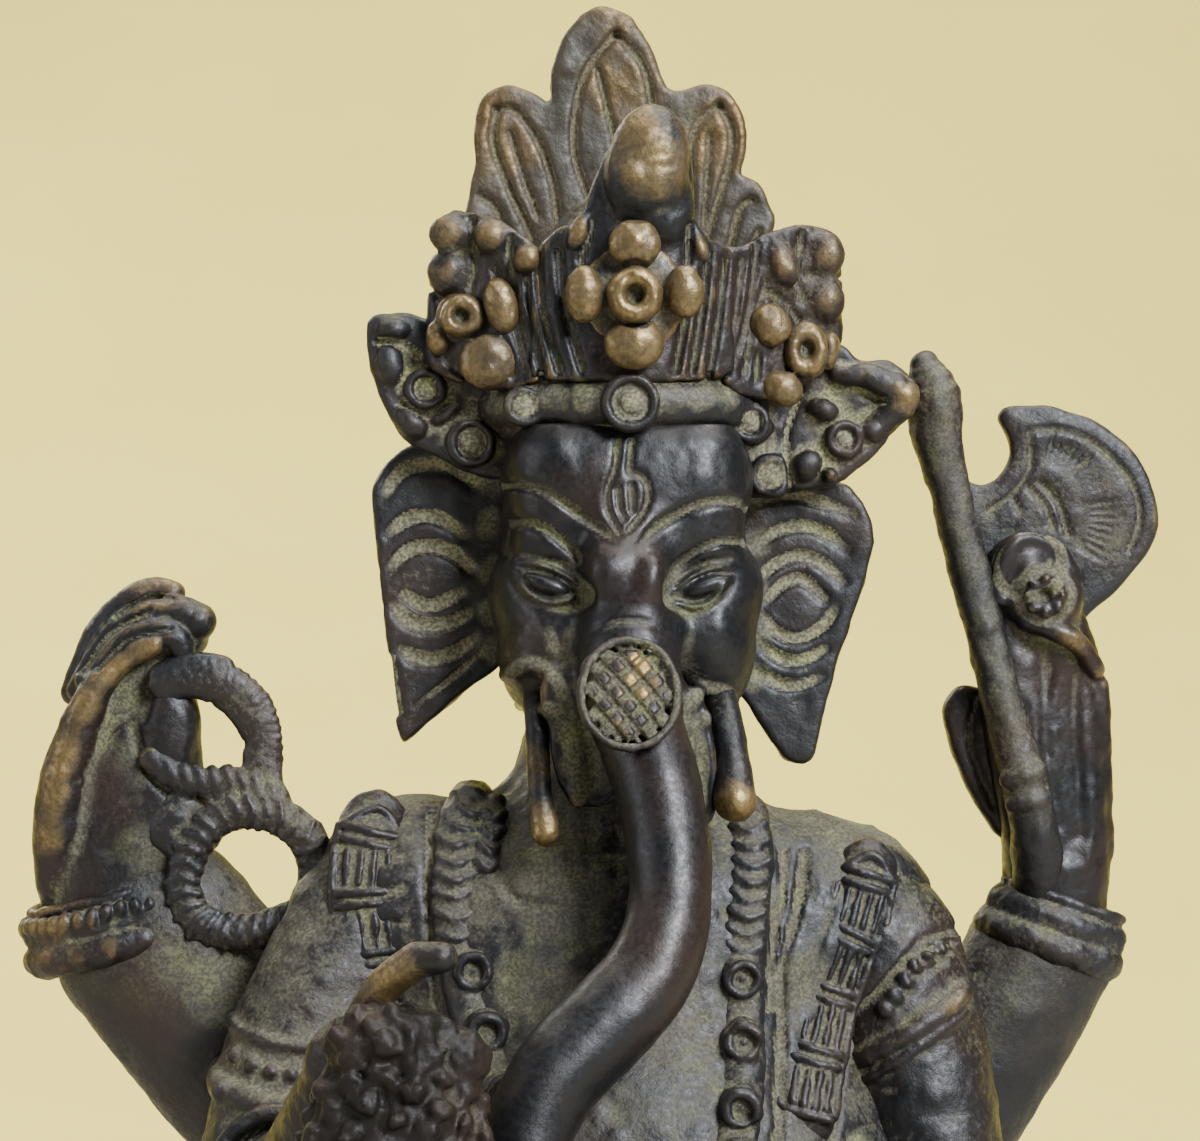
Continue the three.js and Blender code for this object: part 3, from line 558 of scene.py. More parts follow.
def head():
    """The head without its trunk: eyes with engraved lids, brows, forehead mark and cheek skirts."""
    clay = Clay("head", cell=0.27)
    clay.add(ball((0.3, 8, 126), (12.4, 13.5, 15)), ball((0, 9.4, 110), (8.2, 9, 8)), blend=3)
    clay.add(block((0.3, 6, 131), (11.2, 13.2, 8.4), 4.5), blend=2)
    for side in (-1, 1):
        clay.add(ball((side * 5 + 0.4, 0.9, 132.6), (7.4, 8 - 0.6 * side, 6.8)), blend=1.6)
        clay.add(ball((side * 7.4 + 0.3, 0.6, 117.6), (5.3, 8.2, 8.2), lean=side * 8), blend=2)
        clay.add(ball((side * 8.7 + 0.3, 1.3, 121.8), (4.9, 7.4, 5.4)), blend=1.6)
    clay.add(ball((1.8, -4.2, 130.6), (9.4, 3.9, 7.4)), blend=1.6)
    nose = [
        (0, -2, 131, 4), (0, -4.8, 126, 4.2), (0, -6.4, 121, 4.7), (0, -9, 115, 4.9),
        (0.3, -11, 110, 4.6),
    ]
    clay.add(limb(nose), blend=3)
    clay.add(ball((-0.6, -8, 123.4), (4.1, 3.2, 4.4)), blend=1.6)
    clay.add(
        ball((-2, -9.8, 123.6), (2, 1.7, 2.1)), ball((1.8, -10.1, 122.4), (1.5, 1.9, 2.9), lean=-8),
        blend=1.4,
    )
    for side in (-1, 1):
        clay.cut(ball((side * 7.2, -9.3, 122.3), (4, 2.8, 2), lean=side * 18), blend=1.1)
        clay.add(ball((side * 7.2, -5.8, 122.2), (3, 1.9, 1.25), lean=side * 20), blend=0.5)
    lids = [
        [(-10.7, 124.7, 0.3), (-8.6, 124.4, 1), (-6.3, 123.5, 1), (-4.3, 122, 0.5)],
        [(-10.9, 123.4, 0.3), (-9.7, 121.7, 1), (-7.9, 120.8, 1), (-5.9, 120.9, 1), (-4.4, 121.6, 0.4)],
        [(4.1, 121.5, 0.4), (5.9, 123.1, 1), (8, 124, 1), (10.3, 124.2, 0.4)],
        [(4.4, 120.9, 0.4), (6.3, 120.3, 1), (8.2, 120.9, 1), (9.9, 123, 0.3)],
    ]
    for lid in lids:
        clay.press(lid, 0.792, 0.35, 0, silt=0.55)
        clay.press(lid, 0.36, -0.8, 0)
    brows = [
        [
            (-12, 132, 0.8), (-9.5, 131.9, 1), (-7.2, 130.9, 1), (-4.4, 129, 1), (-2.4, 127.5, 1),
            (-1.4, 126.4, 0.2),
        ],
        [
            (12, 129.8, 0.8), (9.7, 130.5, 1), (7.1, 130.2, 1), (4.9, 129.3, 1), (2.6, 127.9, 1),
            (0.9, 126.4, 0.2),
        ],
        [(-12, 128.4, 0.8), (-8.9, 128.2, 1), (-6.8, 126.9, 1), (-5.1, 125.4, 1), (-4.1, 123.8, 0.3)],
        [(12, 126.5, 0.8), (9.1, 126.6, 1), (7.1, 125.9, 1), (4.9, 124.4, 1), (3.3, 122.4, 0.3)],
    ]
    grooves(clay, brows, 0.45, 0.62, 0, silt=0.7)
    tilak = [
        [(-1, 136.2), (-1.3, 133.7), (-2.1, 131.4), (-2, 129.5), (-0.9, 127.2)],
        [(0.3, 136.2), (0, 133.7)],
        [(0.1, 133.2), (1.4, 132.6), (1.9, 130.9), (1.2, 129.2), (-0.1, 127.6)],
        [(-1.1, 131.6), (-0.9, 129.7), (-0.4, 128.7)], [(0.2, 132), (0.3, 129.4)],
    ]
    grooves(clay, tilak, 0.3, 0.42, 0, silt=0.5)
    clay.press(
        [(-3.6, 118, 0.3), (-1.4, 118.9, 1), (1.2, 118.9, 1), (3.4, 118, 0.3)], 0.36, 0.3, 0, silt=0.45,
    )
    skirts = {
        -8: [(-8, 113.4), (-7.6, 108), (-7, 103.8), (-5.2, 101.6), (-2, 101.4), (1, 106), (0, 114)],
        -9: [(3.4, 113), (7, 111.5), (8.2, 107), (8.5, 102.4), (7.6, 99.6), (5.6, 100), (3.6, 106)],
    }
    for y, outline in skirts.items():
        clay.add(plate(outline, y, 0.8, edge=0.6, dome=0.4), blend=1.4)
    pleats = [
        [(-6.6, 111.4, 0.4), (-6, 107.6, 1), (-5.6, 103.4, 0.6)],
        [(-4.3, 110.6, 0.4), (-3.6, 106, 1), (-3, 102.6, 0.6)],
        [(6.2, 110, 0.5), (6.8, 105.6, 1), (6.6, 101, 0.6)],
    ]
    grooves(clay, pleats, 0.75, 0.35, silt=0.75)
    clay.press([(-8.4, 119.6, 0.2), (-7.6, 117, 0.8), (-6.2, 113.8, 0.3)], 0.9, -0.3, 0, silt=0.7)
    lips = [
        [(-11.6, 113.6), (-9.7, 114.8), (-7.8, 114.1), (-6.6, 112.2), (-5.4, 109.4)],
        [(-9.4, 109.8), (-7.6, 110.4), (-5.8, 108.4), (-5.1, 104.6), (-5, 101.8)],
        [(5.3, 109.2), (5.9, 111.3), (7.3, 112.3), (9.2, 112), (10.4, 111)],
        [(5.4, 101.8), (5.2, 105), (5.9, 108.4), (7.8, 109.8), (9.6, 109.2)],
    ]
    for lip in lips:
        clay.add(limb(clay.draped(lip, 0.75, 0.3)), blend=0.7)
        clay.press(lip, 0.9, 0.05, silt=0.62)
    corners = [
        (-6.2, 108.4, 1.7), (-5.6, 105, 1.6), (-5, 102.6, 1.2), (5.2, 108.6, 1.4), (5.6, 104.6, 1.3),
        (6.4, 101.6, 1.1), (-4.4, 107.6, 2.2), (-4, 103.8, 2.2),
    ]
    for x, z, radius in corners:
        clay.dust(x, z, radius, 0.62)
    clay.noise(2.6, 0.07, 1)
    # The first spot is a painted highlight: brighter worn gold on the right of the forehead, where the
    # window lamp's reflection falls. The other positive spots are rubbed wear; those below zero keep the
    # forehead and the eyes free of dust.
    wear_and_forehead_highlight = [
        (5.4, 133.6, 5, 0.3), (0.6, 122.4, 3, 0.2), (-8.6, 112.6, 1.6, 0.7), (9, 111, 1.6, 0.4),
        (0, 128, 9, -0.3), (-7.4, 122.3, 1.8, -0.8), (7.2, 122.4, 1.8, -0.8),
    ]
    cast(clay, "polished", where=lambda x, y, z: np.maximum(99 - z, z - 138), rubs_and_highlights=wear_and_forehead_highlight)


def trunk():
    """The trunk, from the face down to the heap of sweets."""
    clay = Clay("trunk", cell=0.3)
    route = [
        (0, -8.6, 114, 4.2), (0.9, -11.4, 108.5, 4.3), (2.6, -14.6, 102.4, 4.1), (3.4, -17, 96, 3.9),
        (2.8, -19, 90.6, 4), (0.8, -20.8, 86, 4.2), (-3.4, -22.6, 81.8, 4.4), (-7.8, -24.4, 77.4, 4.3),
        (-10.4, -26.2, 72, 3.9), (-10.8, -28.2, 66.5, 3.3), (-10.6, -31.6, 61.5, 2.7),
        (-14.5, -34.5, 58, 2.4), (-19, -35, 58.5, 2.2),
    ]
    clay.add(limb(route), blend=0.3)
    clay.cut(ball((-20.6, -36, 59), (1.5, 1.2, 1.2)), blend=0.4)
    clay.noise(4, 0.07, 2)
    cast(clay, "polished", rubs_and_highlights=[(-8, 76, 9, 0.5), (3, 96, 5, 0.25)])


ROUNDEL_X, ROUNDEL_Z, ROUNDEL_RX, ROUNDEL_RZ = -0.4, 112.3, 4.5, 4.95


def roundel_y(z):
    """The roundel's face lies back along the slope of the trunk's root."""
    return -16.1 + 0.42 * (z - ROUNDEL_Z)


def medallion():
    """The latticed roundel: two sets of crossed grooves inside a raised rim."""
    clay = Clay("trunk_medallion", cell=0.18, margin=4)
    edge = [
        (ROUNDEL_X + ROUNDEL_RX * math.cos(t), ROUNDEL_Z + ROUNDEL_RZ * math.sin(t))
        for t in turns(24)
    ]
    clay.add(plate(edge, lambda x, z: roundel_y(z) + 1.4, 1.4, edge=0.6, dome=0.5, spread=1.4), blend=0.1)
    pitch, radius = 1.65, 4.2
    for lean in (40, -47):
        across = Vector((math.cos(math.radians(lean)), math.sin(math.radians(lean))))
        for i in range(-2, 3):
            foot = Vector((-across.y, across.x)) * i * pitch
            reach = math.sqrt(radius**2 - (i * pitch) ** 2)
            ends = [foot + across * s * reach for s in (-1, -0.5, 0, 0.5, 1)]
            line = [(ROUNDEL_X + p.x + 0.03 * p.y * p.x, ROUNDEL_Z + p.y * 1.06) for p in ends]
            clay.press(line, 0.32, 0.42, power=4, silt=1.0)
    clay.add(limb([(x, roundel_y(z) - 0.1, z, 0.48) for x, z in edge], closed=True), blend=0.12)
    inner = [(0.86 * x + 0.14 * ROUNDEL_X, 0.86 * z + 0.14 * ROUNDEL_Z) for x, z in edge]
    clay.press(inner, 0.34, 0.2, closed=True, silt=0.8)
    clay.press(edge, 0.5, 0.02, closed=True, silt=0.42)
    clay.noise(1.2, 0.06, 42)
    rubs_and_highlights = [(0.4, 113.2, 2.6, 2.6), (-1.6, 109, 1.2, 2), (0.6, 115.4, 1, 2)]
    cast(clay, "lattice", name="medallion_casting", rubs_and_highlights=rubs_and_highlights)


def tusk(node, points, rubs_and_highlights, seed, name=None):
    """One tusk, worn bright at its tip."""
    clay = Clay(node, cell=0.2)
    clay.add(limb(points))
    clay.noise(1.6, 0.06, seed)
    cast(clay, "dark", name=name, rubs_and_highlights=rubs_and_highlights)


def tusks():
    """The longer tusk and the shorter, blunt one."""
    tusk(
        "tusk_left",
        points=[
            (-8.6, -1, 114, 1.6), (-8.7, -6, 109.4, 1.25), (-8.6, -8.2, 104, 1.15),
            (-8, -9.6, 98.8, 1.35),
        ],
        rubs_and_highlights=[(-8, 98.6, 2.4, 1.6), (-8.8, 105, 2.5, 0.5)], seed=3,
    )
    tusk(
        "tusk_right_broken",
        points=[
            (8.4, -1, 114, 1.8), (9.6, -6.4, 109, 1.6), (10, -9, 104.6, 1.8), (10.1, -10.4, 101.8, 2.05),
        ],
        rubs_and_highlights=[(10.1, 101, 2.6, 1.8)], seed=4, name="tusk_right_casting",
    )


# ---- The ears ------------------------------------------------------------------------------------
EAR_LEFT = [
    (-8, 137), (-16, 137), (-21.2, 136.2), (-24.3, 133), (-24.6, 128.9), (-23.5, 118.8), (-22.8, 110.8),
    (-21.9, 106.9), (-20.8, 107), (-16, 111.3), (-12, 114.2), (-8, 118),
]
EAR_RIGHT = [
    (8, 134.5), (17, 133.4), (22.9, 132.4), (25.3, 128.9), (25.2, 123.9), (22.4, 115.8), (20.8, 109.7),
    (19.4, 104.7), (17, 104.6), (15.3, 106.7), (12.4, 111), (8, 116),
]


def ear_left():
    """The ear on the viewer's left, a plate with wide dusty grooves."""
    clay = Clay("ear_left", cell=0.27)
    clay.add(plate(EAR_LEFT, 8, 1.2, edge=0.6))
    wide = [
        [(-23.8, 130.9, 0.4), (-22.2, 133.4, 1), (-20, 134.2, 1), (-17.4, 134.2, 1), (-14.6, 132.6, 0.6)],
        [
            (-23.2, 127.4, 0.4), (-21.6, 128.7, 1), (-19.8, 129.2, 1), (-17.8, 128.8, 1),
            (-15.6, 127.2, 0.4),
        ],
        [(-23.2, 123.8, 0.4), (-21.4, 125.6, 1), (-19.2, 126.2, 1), (-17, 125.6, 1), (-15, 124, 0.6)],
        [(-21.6, 121.2, 0.6), (-19, 120.2, 1), (-16, 121.4, 0.6)],
        [(-22.8, 120.3, 0.4), (-21, 118.6, 1), (-18.7, 118.2, 1), (-16.6, 118.6, 1), (-14.6, 119.8, 0.4)],
        [(-21.9, 115.8, 0.4), (-20.4, 115, 1), (-18.4, 114.9, 1), (-16.4, 115.6, 1), (-14.6, 117, 0.5)],
    ]
    grooves(clay, wide, 0.74, 0.55, power=4, silt=1.0)
    for z in (132.4, 128.4, 123.4, 119.4, 116):
        clay.dust(-13, z, 2.4, 0.45)
    grooves(
        clay, [[(-20.4, 110.3, 0.4), (-17, 112.8, 1), (-13.7, 115.8, 0.6)], [(-23, 115), (-22.2, 109.5)]],
        0.4, 0.5, silt=0.8,
    )
    cast(clay.noise(2.5, 0.08, 5), "crusted")


def ear_right():
    """The ear on the viewer's right."""
    clay = Clay("ear_right", cell=0.27)
    clay.add(plate(EAR_RIGHT, 8, 1.2, edge=0.6))
    wide = [
        [(13.2, 130.4, 0.4), (16, 131.2, 1), (19, 131, 1), (23.4, 129.4, 0.5)],
        [(13.6, 126.2, 0.4), (16, 127.8, 1), (18.4, 128.2, 1), (20.6, 127.6, 1), (23, 125.8, 0.4)],
        [(13.8, 122.6, 0.5), (15.6, 124.4, 1), (18, 125.2, 1), (20.4, 124.4, 1), (22.4, 122.6, 0.5)],
        [(14.6, 120.6, 0.6), (16.4, 122.4, 1), (18.4, 122.8, 1), (20.6, 121, 0.6)],
        [(14.2, 119.4, 0.5), (16, 117.4, 1), (18.2, 117, 1), (20.4, 118.2, 1), (21.8, 120.2, 0.4)],
        [(14.2, 116.4, 0.5), (16, 115, 1), (18, 114.6, 1), (20.6, 115.8, 0.5)],
        [(14, 113.4, 0.5), (16, 112.4, 1), (18, 112.2, 1), (20.4, 113, 0.4)],
    ]
    grooves(clay, wide, 0.66, 0.5, power=4, silt=0.8)
    for z in (131, 126.4, 121.4, 117, 113):
        clay.dust(13.4, z, 2.4, 0.42)
    cast(clay.noise(2.5, 0.1, 6), "crusted")


# ---- The crown -----------------------------------------------------------------------------------
def cabochon(clay, x, z, outer, inner, sink=0.5):
    """A round setting: a thick ring with a low disc in it, seated on the clay's front."""
    y = clay.front(x, z) + sink
    clay.add(ball((x, y + 0.3, z), (outer, 1.2, outer)), blend=0.5)
    clay.add(hoop((x, y - 0.7, z), outer - 0.45, outer - 0.45, 0.5, 0.8), blend=0.2)
    clay.add(ball((x, y - 0.5, z), (inner, 0.8, inner)), blend=0.1)
    clay.dust(x, z, inner)


def crown_band():
    """The band with its settings, and the ribbed hair cone behind it."""
    clay = Clay("crown_band", cell=0.3)
    for z, radius in ((139.9, 2.5), (142.2, 0.9), (137.6, 0.9)):
        ring = [(0.2 + 12.6 * math.cos(t), 7 + 12.4 * math.sin(t), z, radius) for t in turns(28)]
        clay.add(limb(ring, closed=True), blend=0.4)
    clay.add(limb([(0, 7, 139, 12), (0, 7, 149, 10.6), (0, 7.4, 156, 6), (0, 7.6, 160, 1.6)]), blend=1)
    for z, wide, radius in ((158.6, 2.8, 2.4), (154, 6.8, 1.2), (148.5, 9.9, 0.9)):
        ring = [(wide * math.cos(t), 7.2 + wide * math.sin(t), z, radius) for t in turns(28)]
        clay.add(limb(ring, closed=True), blend=0.5)
    for t in turns(22):
        rise = (10.6, 143.5), (9.9, 148.5), (6.4, 153.6)
        strand = [(r * math.cos(t), 7.2 + r * math.sin(t), z, 0.9) for r, z in rise]
        clay.add(limb(strand), blend=0.4)
    for x, z, outer, inner in ((0.2, 139.9, 2.8, 1.2), (-9.9, 139.7, 2, 1.2), (12.4, 138.3, 2, 1.1)):
        cabochon(clay, x, z, outer, inner)
    for x in (-12.6, -7, -4.2, 4, 7, 9.6):
        clay.dust(x, 140.4, 2.2, 0.42)
    cast(clay.noise(2, 0.06, 7), "crusted")


def crown_leaf_centre():
    """The middle leaf, ribbed and dished, with the bud at its tip."""
    clay = Clay("crown_leaf_centre", cell=0.25)
    outline = [
        (-9.4, 142.6), (-9.6, 148), (-9.8, 153), (-7, 156.6), (-4.6, 157.5), (-3.6, 160.5), (-1.4, 165.2),
        (0.9, 167.8), (2.4, 168.5), (4.5, 167.7), (5.9, 165), (6.4, 161.6), (6.6, 158), (8, 156),
        (10.6, 154.4), (10.4, 148), (9.2, 142.6),
    ]
    clay.add(plate(outline, lambda x, z: -6.6 + 0.035 * x * x, 1.1, edge=0.6), blend=0.3)
    clay.add(
        ball((1.8, -7.6, 162.6), (4, 2.9, 6.1), lean=-10), ball((2.8, -6.6, 159), (3.6, 2.4, 4.4)),
        blend=0.6,
    )
    clay.cut(ball((0.6, -11.4, 157), (4.4, 2.8, 2), lean=-10), blend=1.4)
    for i in range(4):
        clay.press([(-1.6 + i, 164.6 - i * 0.8), (1 + i, 165.6 - i)], 0.5, 0.16, -6)
    strands = [
        [(-8.7, 155), (-8.2, 149), (-6.6, 143)], [(-6.6, 154.5), (-6, 149), (-4.4, 143)],
        [(-9.8, 150), (-9, 146), (-8.2, 143)], [(9.6, 154), (9, 149), (8, 143)],
        [(7.8, 154.6), (7.2, 149), (6.2, 143)], [(5.7, 149), (4.6, 143)],
        [(-3.6, 157.4, 0.6), (-4.4, 153.6, 1)], [(6, 157, 0.6), (5.8, 153.6, 1)],
    ]
    for strand in strands:
        clay.press(strand, 0.44, 0.8, -2, silt=0.45)
    for x, z, rx, rz, lean in ((-4.6, 156.4, 1, 2, -24), (7, 155, 0.8, 1.5, 20)):
        clay.add(ball((x, clay.front(x, z) + 0.3, z), (rx, 1, rz), lean=lean), blend=0.3)
    clay.noise(1.8, 0.08, 8)
    rubs_and_highlights = [(2.2, 162.6, 4.4, 1.5), (1, 167, 2, 0.8), (-4.6, 156.4, 1.4, 1), (6.9, 155, 1.3, 0.8)]
    cast(clay, "dark", rubs_and_highlights=rubs_and_highlights)


def crown_flower_centre():
    """Four petals round a boss on the middle leaf."""
    clay = Clay("crown_flower_centre", cell=0.2)
    y = -9
    clay.add(ball((0.5, y + 2, 150.1), (5, 1.2, 5.6)), blend=0.2)
    petals = [
        ((0.55, y, 155), (2.5, 1.6, 2.4)), ((-4.3, y + 0.2, 150.2), (1.9, 1.6, 2.8)),
        ((5.3, y + 0.2, 150.5), (1.9, 1.6, 2.6)), ((0.5, y, 145.5), (2.9, 1.8, 2.5)),
    ]
    clay.add(*(ball(*petal) for petal in petals), blend=0.2)
    clay.cut(
        ball((0.5, y - 1, 150.1), (3.3, 1.8, 3.3)), ball((0.6, y - 1.4, 152.8), (0.8, 1, 0.8)), blend=0.2,
    )
    clay.add(ball((0.5, y + 0.9, 150.1), (2.7, 1.3, 2.7)), blend=0.1)
    clay.add(hoop((0.5, y - 0.9, 150.1), 1.75, 1.75, 0.95, 1.3), blend=0.1)
    clay.noise(1.3, 0.07, 9)
    cast(clay, "worn", rubs_and_highlights=[(0.5, 150.1, 6, 0.7)])


def corner_y(side, x):
    """The depth of a side leaf of the crown, which turns back as it goes outwards."""
    return -3.4 + 0.5 * np.maximum(side * x - 8.5, 0)


def crown_leaf(name, side, outline, lumps, strands, seed):
    """A side leaf of the crown, with lumps along its top and engraved strands below them."""
    clay = Clay(f"crown_leaf_{name}", cell=0.25, margin=5)
    clay.add(plate(outline, lambda x, z: corner_y(side, x), 1.2, edge=0.7), blend=0.3)
    for strand in strands:
        clay.press(strand, 0.42, 0.6, silt=0.45)
    for x, z, rx, rz, lean in lumps:
        clay.add(ball((x, corner_y(side, x) - 1.1, z), (rx * 1.12, 1.5, rz * 1.12), lean=lean), blend=0.7)
    clay.noise(1.6, 0.09, seed)
    rubs_and_highlights = [(x, z, 1.8, 0.9) for x, z, *_ in lumps]
    cast(clay, "dark", rubs_and_highlights=rubs_and_highlights)


def crown_flower(name, side, ring, petals, seed):
    """A flower on a side leaf: petals round a ring with a boss in it."""
    clay = Clay(f"crown_flower_{name}", cell=0.2, margin=5)
    x, z, rx, rz = ring
    y = corner_y(side, x) - 1.8
    for px, pz, prx, prz, lean in petals:
        clay.add(ball((px, corner_y(side, px) - 1.3, pz), (prx * 1.1, 1.5, prz * 1.1), lean), blend=0.2)
        clay.add(limb([(x, y + 1.6, z, 1.1), (px, corner_y(side, px) - 0.5, pz, 0.9)]), blend=0.4)
    clay.cut(ball((x, y - 0.6, z), (rx + 1.1, 1.4, rz + 1.1)), blend=0.2)
    clay.add(ball((x, y + 1.4, z), (rx + 1, 1.4, rz + 1)), blend=0.2)
    clay.add(hoop((x, y - 0.3, z), rx - 0.2, rz - 0.2, 0.8, 1.1), blend=0.1)
    clay.add(ball((x, y + 0.7, z), (rx * 0.5, 0.9, rz * 0.5)), blend=0.1)
    clay.noise(1.3, 0.07, seed)
    cast(clay, "worn", rubs_and_highlights=[(x, z, 5, 0.35)])


PLUME = [
    (-9.5, 150), (-15, 158), (-15, 162), (-14.4, 165.4), (-14.4, 168.8), (-13.6, 172), (-11.4, 173.4),
    (-8.6, 172.8), (-6.7, 171.8), (-6.6, 174.6), (-5.4, 178.2), (-3.2, 180.8), (-1, 181.4), (1.6, 180.4),
    (3.6, 177.4), (4.8, 174.2), (6, 172.9), (9.4, 173.7), (12.2, 172.2), (13.4, 169), (13.3, 166),
    (12.9, 164.4), (14.6, 163.6), (15.7, 161.4), (16, 158.4), (10, 150),
]


def crown_plume():
    """The lobed plume plate behind the crown, with engraved panels."""
    clay = Clay("crown_plume", cell=0.25)
    clay.add(plate(PLUME, 14.3, 1.2, edge=0.7), blend=0.2)
    panels = [
        [(0, 178.6), (-2.6, 175.6), (-4, 171.6), (-4.2, 166), (-2, 160)],
        [(0, 178.6), (2.4, 176), (3.5, 172.6), (3.4, 167), (2, 160)],
        [(10.6, 171.4), (8.4, 169.6), (7.6, 166), (7.8, 160), (7.4, 154)],
        [(10.6, 171.4), (11.9, 168.6), (11.4, 164.8), (10.2, 161), (8.8, 156)],
        [(-12.2, 170.8), (-10.2, 170.6), (-8, 167.6), (-6.6, 163.6), (-5.6, 157)],
        [(-12.2, 170.8), (-12.6, 167.6), (-11, 163), (-9, 158.6), (-7.4, 154)],
        [(14, 161.6), (12.8, 161), (11.6, 157), (10, 152)],
        [(-13.8, 162), (-12.2, 160.6), (-10.6, 156.6), (-9, 152)],
    ]
    veins = [
        [(-1.8, 175), (-0.9, 171), (0, 166.6), (0.4, 160)], [(9.6, 168.4), (9.4, 164), (8.8, 158)],
        [(-10.8, 168.4), (-9.6, 164.4), (-8, 160)], [(14.6, 158.6), (12.4, 154)],
        [(-14, 158.6), (-11.6, 154.6)],
    ]
    grooves(clay, panels, 0.4, 0.6, 14.3, silt=0.7)
    grooves(clay, veins, 0.32, 0.5, 14.3, silt=0.6)
    clay.noise(2, 0.08, 12)
    rubs_and_highlights = [
        (0.2, 173, 4.2, 1.3), (-10.6, 166.6, 3.4, 1.3), (9.8, 167.2, 3.4, 1.3), (0, 180.6, 2.6, 0.7),
        (-13.4, 171.2, 2.4, 1), (12.6, 170.8, 2.2, 0.8),
    ]
    cast(clay, "plume", rubs_and_highlights=rubs_and_highlights)


def crown_ribbon_left():
    """The jewelled ribbon end above the ear on the viewer's left."""
    clay = Clay("crown_ribbon_left", cell=0.27, margin=5)
    outline = [
        (-24.6, 149), (-21.6, 149.3), (-19, 148.6), (-13, 147), (-9, 142), (-9, 134), (-13.5, 133),
        (-18.6, 135.2), (-21.6, 136.8), (-23.7, 140.4), (-25, 144.2), (-25.3, 147.4),
    ]
    clay.add(plate(outline, 4, 1.3, edge=0.7), blend=0.3)
    for x, z, rx, rz, lean in (
        (-23, 144.3, 1.5, 2.3, 10), (-20.8, 138.5, 1.5, 2, 30), (-22.6, 147.6, 1.8, 1.2, 0),
        (-17.6, 139.2, 1.6, 0.9, 30),
    ):
        clay.add(ball((x, 2.9, z), (rx, 1.4, rz), lean=lean), blend=0.4)
    for x, z, outer, inner in ((-19.4, 141.7, 2.1, 1), (-14.9, 136.4, 2.4, 1.3)):
        cabochon(clay, x, z, outer, inner, 0.4)
    grooves(
        clay,
        [[(-21.6, 140.2), (-19.4, 139.2), (-17, 140.4)], [(-24.4, 146.4), (-22, 146.2), (-20, 145)]],
        0.34, 0.5, 4,
    )
    cast(clay.noise(2, 0.08, 13), "crusted")


def crown_ribbon_right():
    """The other ribbon end, which curls up into a knob."""
    clay = Clay("crown_ribbon_right", cell=0.27, margin=5)
    outline = [
        (12, 144), (19, 147), (21.9, 146.3), (23.9, 144.8), (26.6, 144.7), (28.6, 143.5), (29.8, 141.4),
        (29.1, 139.5), (27.3, 137.8), (25.7, 135.7), (23.7, 134.1), (21.4, 132.4), (17, 131.6),
        (12, 131.6), (10, 138),
    ]
    clay.add(plate(outline, 4, 1.3, edge=0.7), blend=0.3)
    curl = [
        (21.4, 2.6, 143.4, 1), (23.6, 2.2, 143.2, 1.2), (26, 2.2, 142.4, 1.4), (27.8, 2.6, 141.2, 1.9),
        (26.6, 2.8, 139.4, 1.5), (25, 2.8, 138, 1.2),
    ]
    clay.add(limb(curl), blend=0.4)
    for x, z, rx, rz, lean in (
        (19.9, 139.8, 1.7, 1.2, -20), (24.9, 137.6, 1.2, 1.1, 0), (18.4, 134.2, 1.5, 1.7, -30),
        (20.6, 133.3, 0.8, 0.8, 0),
    ):
        clay.add(ball((x, 2.7, z), (rx, 1.5, rz), lean=lean), blend=0.3)
    for x, z, outer, inner in ((22.1, 136.8, 1.9, 0.9), (14.7, 133.2, 2.2, 1.5), (12.8, 138.2, 2, 1.1)):
        cabochon(clay, x, z, outer, inner, 0.4)
    grooves(clay, [[(24, 141.4), (26, 140.6)], [(16.8, 131.9), (16.4, 137), (17.8, 142)]], 0.34, 0.45, 4)
    clay.noise(1.8, 0.1, 14)
    rubs_and_highlights = [(28, 141, 2, 1.5), (24, 143, 2, 0.5)]
    cast(clay, "crusted", rubs_and_highlights=rubs_and_highlights)


